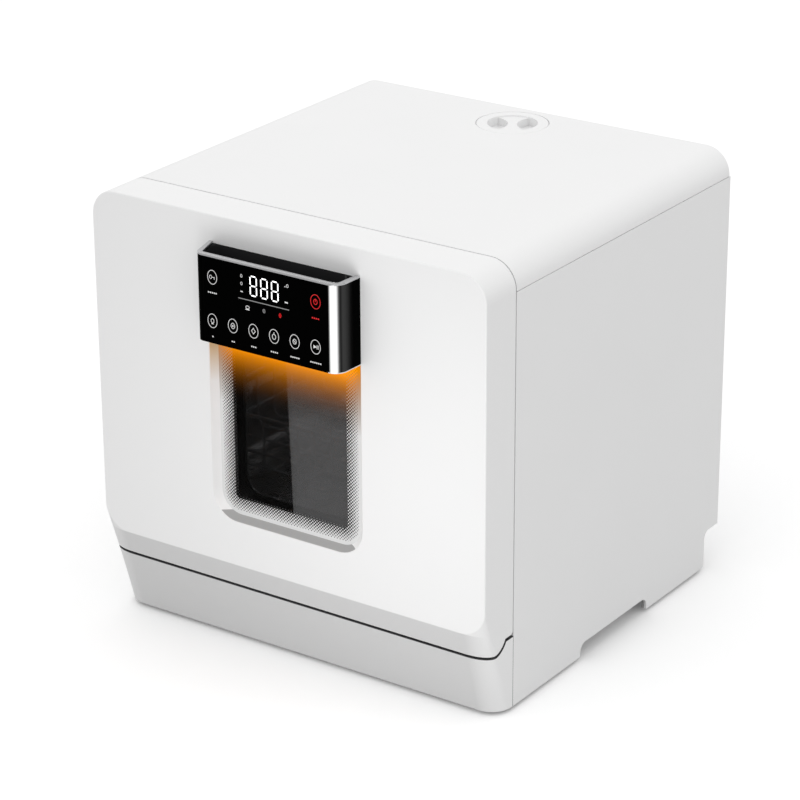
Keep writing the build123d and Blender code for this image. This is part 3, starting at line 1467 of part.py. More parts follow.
with BuildPart() as tank_brackets:
    with BuildSketch(Plane.YZ.offset(-bracket_width / 2)):
        shelf_edge_y = flange_face_y - skin - fit
        with Locations((shelf_edge_y, shelf_top_z + fit)):
            Rectangle(bracket_thickness, tank_low_z - shelf_top_z - 2 * fit,
                      align=(Align.MAX, Align.MIN))
        with Locations((shelf_edge_y, tank_low_z - fit)):
            Rectangle(bracket_reach, bracket_thickness, align=(Align.MAX, Align.MAX))
    bracket = extrude(amount=bracket_width, mode=Mode.PRIVATE)
    with Locations(*[(x, 0, 0) for x in bracket_x]):
        add(bracket)
save(tank_brackets, "tank_brackets")

with BuildPart() as filler_gasket:
    with BuildSketch(Plane.XY.offset(neck_top_z + fit)):
        with Locations((0, cap_y)):
            Circle(neck_flange)
            Circle(neck_bore + fit, mode=Mode.SUBTRACT)
    extrude(amount=gasket_height)
save(filler_gasket, "filler_gasket")

with BuildPart() as filler_cap:
    with BuildSketch(Plane.XY.offset(cap_low_z)):
        with Locations((0, cap_y)):
            Circle(cap_radius)
    extrude(amount=height - cap_low_z)
    fillet(filler_cap.faces().sort_by(Axis.Z)[-1].edges(), radius=cap_round)
    with BuildSketch(Plane.XY.offset(cap_cup_z)):
        with Locations((0, cap_y)):
            Circle(cap_cup_radius)
    extrude(amount=cap_low_z - cap_cup_z)
    # dish in the top, and two finger hollows that leave a waisted grip between them
    with BuildSketch(Plane.XY.offset(height)):
        with Locations((0, cap_y)):
            Circle(cap_dish_radius)
    extrude(amount=-cap_dish_depth, mode=Mode.SUBTRACT)
    with BuildSketch(Plane.XY.offset(height)):
        with Locations(Location((0, cap_y, 0), (0, 0, cap_grip_angle))):
            with Locations((0, cap_hollow_radius + cap_grip_half),
                           (0, -cap_hollow_radius - cap_grip_half)):
                Circle(cap_hollow_radius)
        with Locations((0, cap_y)):
            Circle(cap_dish_radius, mode=Mode.INTERSECT)
    extrude(amount=cap_hollow_z - height, mode=Mode.SUBTRACT)
    with BuildSketch(Plane.XY.offset(cap_cup_z)):
        with Locations((0, cap_y)):
            Circle(cap_cup_radius - cap_wall)
    extrude(amount=cap_hollow_z - cap_wall - cap_cup_z, mode=Mode.SUBTRACT)
save(filler_cap, "filler_cap")
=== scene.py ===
import math

import bpy
from mathutils import Matrix, Vector


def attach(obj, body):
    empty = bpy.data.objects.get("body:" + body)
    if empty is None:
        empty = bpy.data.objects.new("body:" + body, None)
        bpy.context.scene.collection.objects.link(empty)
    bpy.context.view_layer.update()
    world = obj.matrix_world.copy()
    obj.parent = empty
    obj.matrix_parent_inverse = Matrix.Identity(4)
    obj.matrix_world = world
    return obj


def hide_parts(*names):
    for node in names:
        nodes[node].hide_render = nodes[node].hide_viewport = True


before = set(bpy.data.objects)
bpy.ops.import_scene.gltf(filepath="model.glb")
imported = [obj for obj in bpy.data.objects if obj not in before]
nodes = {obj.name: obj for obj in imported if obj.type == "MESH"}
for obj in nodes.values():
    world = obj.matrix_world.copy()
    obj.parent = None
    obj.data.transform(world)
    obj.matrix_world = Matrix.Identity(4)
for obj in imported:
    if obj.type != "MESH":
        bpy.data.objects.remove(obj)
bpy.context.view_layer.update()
print("frame loaded:", len(nodes), "nodes")

mm = 0.001
grainDepth = 0.00005
patchScale = 9.0


# ---- materials: every one is procedural and reads Object coordinates

def newMaterial(name):
    mat = bpy.data.materials.new(name)
    mat.use_nodes = True
    tree = mat.node_tree
    tree.nodes.clear()
    out = tree.nodes.new("ShaderNodeOutputMaterial")
    bsdf = tree.nodes.new("ShaderNodeBsdfPrincipled")
    tree.links.new(bsdf.outputs["BSDF"], out.inputs["Surface"])
    coord = tree.nodes.new("ShaderNodeTexCoord")
    return mat, tree, bsdf, coord


def noiseFrom(tree, coord, scale, detail=3.0, stretch=None):
    noise = tree.nodes.new("ShaderNodeTexNoise")
    noise.inputs["Scale"].default_value = scale
    noise.inputs["Detail"].default_value = detail
    source = coord.outputs["Object"]
    if stretch:
        mapping = tree.nodes.new("ShaderNodeMapping")
        mapping.inputs["Scale"].default_value = stretch
        tree.links.new(source, mapping.inputs["Vector"])
        source = mapping.outputs["Vector"]
    tree.links.new(source, noise.inputs["Vector"])
    return noise.outputs["Fac"]


def spread(tree, value, low, high, fromLow=0.3, fromHigh=0.7):
    ranger = tree.nodes.new("ShaderNodeMapRange")
    ranger.inputs["From Min"].default_value = fromLow
    ranger.inputs["From Max"].default_value = fromHigh
    ranger.inputs["To Min"].default_value = low
    ranger.inputs["To Max"].default_value = high
    tree.links.new(value, ranger.inputs["Value"])
    return ranger.outputs["Result"]


def blendColours(tree, fac, a, b):
    mix = tree.nodes.new("ShaderNodeMix")
    mix.data_type = "RGBA"
    mix.inputs["A"].default_value = (*a, 1)
    mix.inputs["B"].default_value = (*b, 1)
    tree.links.new(fac, mix.inputs["Factor"])
    return mix.outputs["Result"]


def addBump(tree, bsdf, height, strength, distance):
    bump = tree.nodes.new("ShaderNodeBump")
    bump.inputs["Strength"].default_value = strength
    bump.inputs["Distance"].default_value = distance
    tree.links.new(height, bump.inputs["Height"])
    tree.links.new(bump.outputs["Normal"], bsdf.inputs["Normal"])


def surface(name, look):
    # one finish: two close colours, a roughness range and a fine bump
    mat, tree, bsdf, coord = newMaterial(name)
    stretch = look.get("stretch")
    broad = noiseFrom(tree, coord, patchScale, 2.0)
    fine = noiseFrom(tree, coord, look["grain"], 3.0, stretch)
    tint = blendColours(tree, broad, look["colour"], look["shade"])
    tree.links.new(tint, bsdf.inputs["Base Color"])
    tree.links.new(spread(tree, fine, look["rough"][0], look["rough"][1]), bsdf.inputs["Roughness"])
    addBump(tree, bsdf, fine, look["bump"], look.get("depth", grainDepth))
    bsdf.inputs["Metallic"].default_value = look.get("metal", 0.0)
    bsdf.inputs["Specular IOR Level"].default_value = look.get("specular", 0.5)
    return mat


finishes = {
    "cabinetWhite": dict(colour=(0.86, 0.86, 0.86), shade=(0.84, 0.84, 0.84), rough=(0.34, 0.40),
                         grain=700, bump=0.05, specular=0.4),
    "backSheet": dict(colour=(0.60, 0.61, 0.62), shade=(0.55, 0.56, 0.57), rough=(0.42, 0.55),
                      grain=900, bump=0.15),
    "frameWhite": dict(colour=(0.80, 0.80, 0.80), shade=(0.77, 0.77, 0.77), rough=(0.35, 0.45),
                       grain=800, bump=0.1),
    "stainless": dict(colour=(0.60, 0.60, 0.60), shade=(0.52, 0.52, 0.53), rough=(0.22, 0.36),
                      grain=60, stretch=(1, 1, 40), bump=0.12, metal=1.0),
    "displayBlack": dict(colour=(0.0004, 0.0004, 0.0004), shade=(0.0007, 0.0007, 0.0007),
                         rough=(0.08, 0.12), grain=300, bump=0.02, specular=0.004),
    "silverTrim": dict(colour=(0.62, 0.62, 0.63), shade=(0.55, 0.55, 0.56), rough=(0.22, 0.30),
                       grain=200, stretch=(1, 20, 20), bump=0.05, metal=1.0),
    "linerSteel": dict(colour=(0.58, 0.58, 0.58), shade=(0.50, 0.50, 0.51), rough=(0.25, 0.38),
                       grain=60, stretch=(40, 1, 1), bump=0.12, metal=1.0),
    "blackPlastic": dict(colour=(0.012, 0.012, 0.012), shade=(0.016, 0.016, 0.016), rough=(0.45, 0.6),
                         grain=1200, bump=0.3),
    "sealRubber": dict(colour=(0.045, 0.045, 0.047), shade=(0.035, 0.035, 0.036), rough=(0.6, 0.75),
                       grain=1500, bump=0.3),
    "greyPlastic": dict(colour=(0.17, 0.175, 0.185), shade=(0.15, 0.155, 0.165), rough=(0.4, 0.52),
                        grain=1400, bump=0.25),
    "paleGreyPlastic": dict(colour=(0.36, 0.37, 0.38), shade=(0.33, 0.34, 0.35), rough=(0.38, 0.5),
                            grain=1400, bump=0.25),
    "zincSteel": dict(colour=(0.50, 0.50, 0.50), shade=(0.42, 0.42, 0.41), rough=(0.3, 0.48),
                      grain=150, bump=0.2, metal=1.0),
    "rackWire": dict(colour=(0.40, 0.41, 0.42), shade=(0.36, 0.37, 0.38), rough=(0.35, 0.45),
                     grain=900, bump=0.2),
    "basePlastic": dict(colour=(0.42, 0.42, 0.42), shade=(0.38, 0.38, 0.38), rough=(0.5, 0.65),
                        grain=1000, bump=0.4),
    "boardGreen": dict(colour=(0.02, 0.11, 0.05), shade=(0.015, 0.08, 0.04), rough=(0.35, 0.5),
                       grain=700, bump=0.3),
    "tankWhite": dict(colour=(0.72, 0.73, 0.72), shade=(0.66, 0.67, 0.66), rough=(0.35, 0.5),
                      grain=300, bump=0.15),
    "insulation": dict(colour=(0.012, 0.012, 0.012), shade=(0.025, 0.024, 0.022), rough=(0.75, 0.95),
                       grain=500, bump=0.6, depth=0.0004),
    "pumpGrey": dict(colour=(0.06, 0.062, 0.066), shade=(0.05, 0.052, 0.055), rough=(0.4, 0.55),
                     grain=900, bump=0.3),
}
mats = {name: surface(name, look) for name, look in finishes.items()}


def glowing(name, colour, strength):
    mat, tree, bsdf, coord = newMaterial(name)
    fine = noiseFrom(tree, coord, 400)
    tree.links.new(spread(tree, fine, 0.25, 0.35), bsdf.inputs["Roughness"])
    bsdf.inputs["Base Color"].default_value = (*colour, 1)
    bsdf.inputs["Emission Color"].default_value = (*colour, 1)
    bsdf.inputs["Emission Strength"].default_value = strength
    return mat


mats["printWhite"] = glowing("printWhite", (0.60, 0.60, 0.60), 0.2)
mats["printGrey"] = glowing("printGrey", (0.22, 0.22, 0.22), 0.15)
mats["digitWhite"] = glowing("digitWhite", (0.95, 0.95, 0.95), 0.9)
mats["indicatorRed"] = glowing("indicatorRed", (0.52, 0.004, 0.006), 0.4)
mats["amberLight"] = glowing("amberLight", (1.0, 0.40, 0.01), 0.5)


def mathNode(tree, operation, a, b=None):
    node = tree.nodes.new("ShaderNodeMath")
    node.operation = operation
    for socket, value in zip(node.inputs, (a, b)):
        if value is None:
            continue
        if isinstance(value, (int, float)):
            socket.default_value = value
        else:
            tree.links.new(value, socket)
    return node.outputs["Value"]


def between(tree, value, low, high, soft):
    # 1 where value lies between low and high, with soft edges
    rise = spread(tree, value, 0.0, 1.0, low - soft, low + soft)
    fall = spread(tree, value, 1.0, 0.0, high - soft, high + soft)
    return mathNode(tree, "MULTIPLY", rise, fall)


def splitObject(tree, coord):
    parts = tree.nodes.new("ShaderNodeSeparateXYZ")
    tree.links.new(coord.outputs["Object"], parts.inputs["Vector"])
    return parts.outputs["X"], parts.outputs["Y"], parts.outputs["Z"]


# painted highlight round the bar's right corner, a painted reflection on the glossy black: place along its
# outline in mm, brightness
barHighlight = dict(cornerX=0.0715, cornerY=-0.2145, radius=0.0115, bottom=0.3229, span=30.0, lead=2.0,
                scoopFront=-0.2188, scoopLow=0.3505, scoopRight=0.0095,
                steps=((0.0, 0.0), (1.2, 0.0), (2.1, 0.32), (3.0, 0.9), (8.2, 0.9), (9.2, 0.5),
                       (10.2, 0.1), (11.6, 0.009), (13.8, 0.037), (16.5, 0.035), (21.0, 0.016),
                       (24.0, 0.003), (27.0, 0.0)),
                dark=(0.0004, 0.0004, 0.0004), scoop=(0.022, 0.022, 0.023),
                highlightWhite=(0.96, 0.96, 0.96), lowEdgeHighlight=0.6, lift=0.2)


def barMaterial():
    # black bar with a painted highlight band round its right corner, a painted highlight on its lower edge
    # there and a painted sheen in its scoop
    mat, tree, bsdf, coord = newMaterial("controlBlack")
    x, y, z = splitObject(tree, coord)
    dx = mathNode(tree, "SUBTRACT", x, barHighlight["cornerX"])
    dy = mathNode(tree, "SUBTRACT", y, barHighlight["cornerY"])
    right = mathNode(tree, "MAXIMUM", dx, 0.0)
    ahead = mathNode(tree, "MAXIMUM", mathNode(tree, "MULTIPLY", dy, -1.0), 0.0)
    turn = mathNode(tree, "MULTIPLY", mathNode(tree, "ARCTAN2", right, ahead), barHighlight["radius"])
    along = mathNode(tree, "ADD", turn, mathNode(tree, "ADD", mathNode(tree, "MINIMUM", dx, 0.0),
                                                 mathNode(tree, "MAXIMUM", dy, 0.0)))
    onSide = mathNode(tree, "GREATER_THAN", dx, -barHighlight["lead"] * mm)
    place = mathNode(tree, "DIVIDE", mathNode(tree, "DIVIDE", along, mm), barHighlight["span"])
    ramp = tree.nodes.new("ShaderNodeValToRGB")
    stops = ramp.color_ramp.elements
    while len(stops) < len(barHighlight["steps"]):
        stops.new(0.5)
    for stop, (distance, bright) in zip(stops, barHighlight["steps"]):
        stop.position = distance / barHighlight["span"]
        stop.color = (bright, bright, bright, 1)
    tree.links.new(place, ramp.inputs["Fac"])
    # the bright lower edge at the corner is a painted highlight
    low = mathNode(tree, "MULTIPLY", mathNode(tree, "LESS_THAN", z, barHighlight["bottom"]),
                   mathNode(tree, "GREATER_THAN", dx, 0.0))
    highlightMask = mathNode(tree, "MAXIMUM", mathNode(tree, "MULTIPLY", ramp.outputs["Color"], onSide),
                     mathNode(tree, "MULTIPLY", low, barHighlight["lowEdgeHighlight"]))
    # the scoop inside is painted a little lighter than the black, as a painted sheen
    scoop = mathNode(tree, "MULTIPLY", mathNode(tree, "GREATER_THAN", y, barHighlight["scoopFront"]),
                     mathNode(tree, "MULTIPLY", mathNode(tree, "GREATER_THAN", z, barHighlight["scoopLow"]),
                              mathNode(tree, "LESS_THAN", dx, barHighlight["scoopRight"])))
    tone = tree.nodes.new("ShaderNodeMix")
    tone.data_type = "RGBA"
    tree.links.new(highlightMask, tone.inputs["Factor"])
    tree.links.new(blendColours(tree, scoop, barHighlight["dark"], barHighlight["scoop"]),
                   tone.inputs["A"])
    tone.inputs["B"].default_value = (*barHighlight["highlightWhite"], 1)
    tree.links.new(tone.outputs["Result"], bsdf.inputs["Base Color"])
    fine = noiseFrom(tree, coord, 300)
    tree.links.new(spread(tree, fine, 0.16, 0.22), bsdf.inputs["Roughness"])
    bsdf.inputs["Specular IOR Level"].default_value = 0.004
    # the painted highlight also glows a little: painted light, not a lamp
    bsdf.inputs["Emission Color"].default_value = (1, 1, 1, 1)
    tree.links.new(mathNode(tree, "MULTIPLY", highlightMask, barHighlight["lift"]),
                   bsdf.inputs["Emission Strength"])
    return mat


mats["controlBlack"] = barMaterial()

window = dict(half=0.0788, low=0.1395, top=0.3465, corner=0.0215, frit=0.0034, dots=0.0126,
              pitch=0.0016, bigDot=0.53, smallDot=0.29, glowTop=0.312, glowLow=0.250,
              glowFall=3.2, glow=1.9, sheenX=-0.0005, sheenZ=0.24, sheenLean=0.035,
              dark=(0.0008, 0.0008, 0.0008), sheen=(0.095, 0.095, 0.096),
              print=(0.72, 0.72, 0.72), printLit=(0.16, 0.07, 0.0), amber=(0.80, 0.24, 0.0),
              clearest=0.62, clearFall=0.8, ringFall=0.25, shaded=0.45)


def windowMaterial():
    # dark glass with a pale printed edge and a ring of shrinking dots, with the strip's amber light
    # painted on as a glow and a painted reflection on its right part
    mat, tree, bsdf, coord = newMaterial("windowGlass")
    x, y, z = splitObject(tree, coord)
    midZ = (window["low"] + window["top"]) / 2
    halfZ = (window["top"] - window["low"]) / 2
    qx = mathNode(tree, "SUBTRACT", mathNode(tree, "ABSOLUTE", x), window["half"] - window["corner"])
    qz = mathNode(tree, "SUBTRACT", mathNode(tree, "ABSOLUTE", mathNode(tree, "SUBTRACT", z, midZ)),
                  halfZ - window["corner"])
    outX, outZ = mathNode(tree, "MAXIMUM", qx, 0.0), mathNode(tree, "MAXIMUM", qz, 0.0)
    away = mathNode(tree, "SQRT", mathNode(tree, "ADD", mathNode(tree, "MULTIPLY", outX, outX),
                                           mathNode(tree, "MULTIPLY", outZ, outZ)))
    inside = mathNode(tree, "MINIMUM", mathNode(tree, "MAXIMUM", qx, qz), 0.0)
    depth = mathNode(tree, "SUBTRACT", window["corner"], mathNode(tree, "ADD", away, inside))
    # dots on a diagonal grid, smaller the further in they are
    pitch = window["pitch"]
    u = mathNode(tree, "FRACT", mathNode(tree, "DIVIDE", mathNode(tree, "ADD", x, z), 2 * pitch))
    v = mathNode(tree, "FRACT", mathNode(tree, "DIVIDE", mathNode(tree, "SUBTRACT", x, z), 2 * pitch))
    du, dv = mathNode(tree, "SUBTRACT", u, 0.5), mathNode(tree, "SUBTRACT", v, 0.5)
    reach = mathNode(tree, "SQRT", mathNode(tree, "ADD", mathNode(tree, "MULTIPLY", du, du),
                                            mathNode(tree, "MULTIPLY", dv, dv)))
    ringEnd = window["frit"] + window["dots"]
    size = spread(tree, depth, window["bigDot"], window["smallDot"], window["frit"], ringEnd)
    dot = mathNode(tree, "LESS_THAN", reach, size)
    band = mathNode(tree, "LESS_THAN", depth, ringEnd)
    edge = mathNode(tree, "LESS_THAN", depth, window["frit"])
    printed = mathNode(tree, "MAXIMUM", edge, mathNode(tree, "MULTIPLY", dot, band))
    # painted light: the strip's glow under the bar is painted into the glass and fades downwards
    glow = spread(tree, z, 0.0, 1.0, window["glowLow"], window["glowTop"])
    soft = mathNode(tree, "POWER", glow, window["glowFall"])
    # the right part of the pane gets a pale painted sheen, a painted reflection
    lean = mathNode(tree, "MULTIPLY", mathNode(tree, "SUBTRACT", z, window["sheenZ"]),
                    window["sheenLean"])
    sheen = mathNode(tree, "GREATER_THAN", mathNode(tree, "ADD", x, lean), window["sheenX"])
    clear = mathNode(tree, "SUBTRACT", 1.0, mathNode(tree, "POWER", glow, window["clearFall"]))
    sheenMask = mathNode(tree, "MULTIPLY", mathNode(tree, "MULTIPLY", sheen, clear),
                    mathNode(tree, "SUBTRACT", 1.0, band))
    glass = blendColours(tree, sheenMask, window["dark"], window["sheen"])
    # near the top the printed ring takes the painted amber light
    ring = blendColours(tree, mathNode(tree, "POWER", soft, window["ringFall"]),
                        window["print"], window["printLit"])
    mix = tree.nodes.new("ShaderNodeMix")
    mix.data_type = "RGBA"
    tree.links.new(printed, mix.inputs["Factor"])
    tree.links.new(glass, mix.inputs["A"])
    tree.links.new(ring, mix.inputs["B"])
    tree.links.new(mix.outputs["Result"], bsdf.inputs["Base Color"])
    solid = mathNode(tree, "MAXIMUM", band, soft)
    tree.links.new(spread(tree, solid, window["clearest"], 1.0, 0.0, 1.0), bsdf.inputs["Alpha"])
    bsdf.inputs["Roughness"].default_value = 0.03
    bsdf.inputs["Specular IOR Level"].default_value = 0.04
    # the glass itself emits the painted amber glow, less where it is printed
    bsdf.inputs["Emission Color"].default_value = (*window["amber"], 1)
    shade = spread(tree, printed, 1.0, window["shaded"], 0.0, 1.0)
    tree.links.new(mathNode(tree, "MULTIPLY", mathNode(tree, "MULTIPLY", soft, window["glow"]), shade),
                   bsdf.inputs["Emission Strength"])
    return mat


mats["windowGlass"] = windowMaterial()


def clearGlass():
    mat, tree, bsdf, coord = newMaterial("clearGlass")
    smears = noiseFrom(tree, coord, 40)
    tree.links.new(spread(tree, smears, 0.02, 0.06), bsdf.inputs["Roughness"])
    bsdf.inputs["Base Color"].default_value = (0.3, 0.31, 0.31, 1)
    bsdf.inputs["Alpha"].default_value = 0.1
    bsdf.inputs["Specular IOR Level"].default_value = 0.15
    return mat


mats["clearGlass"] = clearGlass()

# the joint line between door and plinth: a round part about the hinge, then a flat one, painted dark as
# painted shade in the gap; the slanted front's white also gets painted shade
parting = dict(y=-0.179, z=0.087, radius=0.0227, level=0.0643, shelf=0.0746, half=0.0005,
               seam=0.0006, slant=0.66, side=0.86, turnFrom=0.192, turnTo=0.213,
               edge=0.0001, dark=(0.05, 0.05, 0.052))


def slantWhite(tree, x, amount):
    # the white of the slanted front with painted shade, greyer than round the corner: amount is 1 on the
    # slanted face
    slantShadeMask = spread(tree, mathNode(tree, "ABSOLUTE", x), 1.0, 0.0, parting["turnFrom"],
                  parting["turnTo"])
    slantShadeMask = mathNode(tree, "MULTIPLY", slantShadeMask, amount)
    return blendColours(tree, slantShadeMask, (parting["side"],) * 3, (parting["slant"],) * 3)


# the window's surround: its walls lie behind the door face; the strip's light on their upper ends is
# painted on in amber, and their low ledge gets painted shade
surround = dict(face=-0.1944, glass=-0.1876, half=0.0850, bottom=0.1330, top=0.3530, low=0.1420,
                lowShade=0.42, glowLow=0.268, glowTop=0.312, crease=0.0900, soft=0.0006,
                edge=0.0002, mostLit=0.9, lit=(0.50, 0.30, 0.03))


def doorMaterial():
    mat, tree, bsdf, coord = newMaterial("doorWhite")
    look = finishes["cabinetWhite"]
    x, y, z = splitObject(tree, coord)
    fine = noiseFrom(tree, coord, look["grain"], 3.0)
    below = spread(tree, z, 1.0, 0.0, surround["crease"] - surround["soft"],
                   surround["crease"] + surround["soft"])
    # below the crease the door's slanted front takes the painted shade
    white = slantWhite(tree, x, below)
    beside = mathNode(tree, "MULTIPLY", between(tree, y, surround["face"], surround["glass"],
                                              surround["edge"]),
                      mathNode(tree, "LESS_THAN", mathNode(tree, "ABSOLUTE", x), surround["half"]))
    inWall = mathNode(tree, "MULTIPLY", beside,
                      between(tree, z, surround["bottom"], surround["top"], surround["edge"]))
    # painted light: the strip's amber glow on the upper ends of the walls
    lit = mathNode(tree, "MULTIPLY", inWall,
                   spread(tree, z, 0.0, surround["mostLit"], surround["glowLow"],
                          surround["glowTop"]))
    # painted shade on the low ledge of the surround
    ledgeShadeMask = mathNode(tree, "MULTIPLY", inWall, mathNode(tree, "LESS_THAN", z, surround["low"]))
    mixes = []
    ledgeShadeTone = surround["lowShade"] * parting["side"]
    for factor, colour in ((lit, surround["lit"]), (ledgeShadeMask, (ledgeShadeTone,) * 3)):
        mix = tree.nodes.new("ShaderNodeMix")
        mix.data_type = "RGBA"
        tree.links.new(factor, mix.inputs["Factor"])
        tree.links.new(mixes[-1] if mixes else white, mix.inputs["A"])
        mix.inputs["B"].default_value = (*colour, 1)
        mixes.append(mix.outputs["Result"])
    tree.links.new(mixes[-1], bsdf.inputs["Base Color"])
    tree.links.new(spread(tree, fine, look["rough"][0], look["rough"][1]), bsdf.inputs["Roughness"])
    addBump(tree, bsdf, fine, look["bump"], grainDepth)
    bsdf.inputs["Specular IOR Level"].default_value = look["specular"]
    return mat


mats["doorWhite"] = doorMaterial()


def plinthMaterial():
    # white, with painted shade in the joint under the door and in the line beside the side panels
    mat, tree, bsdf, coord = newMaterial("plinthWhite")
    look = finishes["cabinetWhite"]
    x, y, z = splitObject(tree, coord)
    dy = mathNode(tree, "SUBTRACT", y, parting["y"])
    dz = mathNode(tree, "SUBTRACT", z, parting["z"])
    away = mathNode(tree, "SQRT", mathNode(tree, "ADD", mathNode(tree, "MULTIPLY", dy, dy),
                                           mathNode(tree, "MULTIPLY", dz, dz)))
    behind = mathNode(tree, "GREATER_THAN", dy, 0.0)
    gapShadeLines = [mathNode(tree, "MULTIPLY", behind, between(tree, away, parting["radius"] - parting["half"],
                                                        parting["radius"] + parting["half"],
                                                        parting["edge"])),
             mathNode(tree, "MULTIPLY", mathNode(tree, "SUBTRACT", 1.0, behind),
                      between(tree, z, parting["level"] - parting["half"],
                              parting["level"] + parting["half"], parting["edge"])),
             mathNode(tree, "MULTIPLY", behind, between(tree, z, parting["shelf"] - parting["half"],
                                                        parting["shelf"] + parting["half"],
                                                        parting["edge"])),
             mathNode(tree, "GREATER_THAN", y, plinthBack - parting["seam"])]
    # these lines take the dark colour as painted shade, where the gaps lie in shade
    dark = gapShadeLines[0]
    for line in gapShadeLines[1:]:
        dark = mathNode(tree, "MAXIMUM", dark, line)
    fine = noiseFrom(tree, coord, look["grain"], 3.0)
    tone = tree.nodes.new("ShaderNodeMix")
    tone.data_type = "RGBA"
    tree.links.new(dark, tone.inputs["Factor"])
    tree.links.new(slantWhite(tree, x, 1.0), tone.inputs["A"])
    tone.inputs["B"].default_value = (*parting["dark"], 1)
    tree.links.new(tone.outputs["Result"], bsdf.inputs["Base Color"])
    tree.links.new(spread(tree, fine, look["rough"][0], look["rough"][1]), bsdf.inputs["Roughness"])
    addBump(tree, bsdf, fine, look["bump"], grainDepth)
    bsdf.inputs["Specular IOR Level"].default_value = look["specular"]
    return mat


plinthBack = max(corner[1] for corner in nodes["front_plinth"].bound_box)
mats["plinthWhite"] = plinthMaterial()

nodeFinish = {
    "doorWhite": ["door_shell"],
    "plinthWhite": ["front_plinth"],
    "cabinetWhite": ["top_cover", "left_side_panel", "right_side_panel", "filler_cap"],
    "backSheet": ["back_panel"],
    "frameWhite": ["front_frame"],
    "stainless": ["tub", "filter_basket", "water_heater", "rack_rails"],
    "linerSteel": ["door_liner"],
    "controlBlack": ["handle_housing"],
    "displayBlack": ["touch_glass", "display_module"],
    "silverTrim": ["panel_trim"],
    "blackPlastic": ["window_sleeve", "latch_housing", "wash_hose", "drain_hose", "fill_hose",
                     "drain_outlet", "power_gland", "power_module"],
    "sealRubber": ["door_seal", "feet", "filler_gasket"],
    "greyPlastic": ["sump", "arm_nut", "wash_arm", "front_rollers", "rear_rollers", "inlet_connector"],
    "paleGreyPlastic": ["detergent_cup", "detergent_lid"],
    "zincSteel": ["hinge_arms", "hinge_pins", "door_striker", "back_screws", "tank_brackets"],
    "rackWire": ["dish_rack"],
    "basePlastic": ["base_tray"],
    "boardGreen": ["control_board"],
    "tankWhite": ["water_tank", "inlet_valve"],
    "insulation": ["insulation_wrap"],
    "pumpGrey": ["wash_pump", "drain_pump"],
    "amberLight": ["light_strip"],
    "windowGlass": ["window_glass"],
    "clearGlass": ["inner_glass"],
}
for finish, members in nodeFinish.items():
    for member in members:
        slots = nodes[member].material_slots
        for slot in slots:
            slot.material = mats[finish]
        if not slots:
            nodes[member].data.materials.append(mats[finish])
print("materials:", len(mats))


# ---- helpers for pieces made by hand

def clearSelection():
    if bpy.context.mode != "OBJECT":
        bpy.ops.object.mode_set(mode="OBJECT")
    bpy.ops.object.select_all(action="DESELECT")


def pickOnly(obj):
    clearSelection()
    obj.select_set(True)
    bpy.context.view_layer.objects.active = obj


def applyPlace(obj):
    pickOnly(obj)
    bpy.ops.object.transform_apply(location=True, rotation=True, scale=True)


def finishPiece(obj, name, material, body):
    # place goes into the mesh, then the piece gets its finish and its body
    applyPlace(obj)
    obj.name = name
    obj.data.name = name
    obj.data.materials.clear()
    obj.data.materials.append(mats[material])
    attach(obj, body)
    return obj


def joined(pieces):
    clearSelection()
    for piece in pieces:
        piece.select_set(True)
    bpy.context.view_layer.objects.active = pieces[0]
    bpy.ops.object.join()
    return bpy.context.view_layer.objects.active


# ---- the bar and its trim, with the front right corner rounded

barRound = dict(x=0.083, y=-0.226, trim=0.004, radius=0.0115, segments=12, reach=0.0006,
                least=0.0005, ease=0.96, merge=0.00001, flat=0.4, smooth=30)


def freeCopy(nodeName):
    # a copy of a CAD piece on its own, with its place in its mesh
    copy = nodes[nodeName].copy()
    copy.data = nodes[nodeName].data.copy()
    copy.parent = None
    copy.matrix_world = nodes[nodeName].matrix_world.copy()
    bpy.context.collection.objects.link(copy)
    applyPlace(copy)
    return copy


def mergedCopy(nodeName):
    # a copy with its doubles merged and its flat faces joined
    copy = freeCopy(nodeName)
    bpy.ops.object.mode_set(mode="EDIT")
    bpy.ops.mesh.select_all(action="SELECT")
    bpy.ops.mesh.remove_doubles(threshold=barRound["merge"])
    bpy.ops.mesh.dissolve_limited(angle_limit=math.radians(barRound["flat"]))
    bpy.ops.mesh.select_all(action="DESELECT")
    bpy.ops.object.mode_set(mode="OBJECT")
    return copy


def roundUpright(obj, x, y, radius):
    # bevels the upright edges that stand at this place
    mesh = obj.data
    for part in (mesh.polygons, mesh.vertices, mesh.edges):
        for item in part:
            item.select = False
    chosen = 0
    for edge in mesh.edges:
        a, b = (mesh.vertices[i].co for i in edge.vertices)
        near = all(math.hypot(end.x - x, end.y - y) < barRound["reach"] for end in (a, b))
        edge.select = near and abs(a.z - b.z) > barRound["least"]
        chosen += edge.select
    bpy.context.view_layer.objects.active = obj
    bpy.ops.object.mode_set(mode="EDIT")
    bpy.ops.mesh.select_mode(type="EDGE")
    bpy.ops.mesh.bevel(offset=radius * barRound["ease"], segments=barRound["segments"],
                       affect="EDGES")
    bpy.ops.mesh.select_mode(type="VERT")
    bpy.ops.object.mode_set(mode="OBJECT")
    return chosen


def roundBar(nodeName, corners, name, material):
    piece = mergedCopy(nodeName)
    counts = [roundUpright(piece, *corner) for corner in corners]
    pickOnly(piece)
    bpy.ops.object.shade_smooth_by_angle(angle=math.radians(barRound["smooth"]))
    finishPiece(piece, name, material, "door")
    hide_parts(nodeName)
    print(name, "corners rounded:", counts)


outer = (barRound["x"], barRound["y"], barRound["radius"])
inner = (barRound["x"] - barRound["trim"], barRound["y"] + barRound["trim"],
         barRound["radius"] - barRound["trim"])
roundBar("handle_housing", [outer], "bar_housing", "controlBlack")
roundBar("panel_trim", [outer, inner], "bar_trim", "silverTrim")


# ---- printed figures on the touch glass

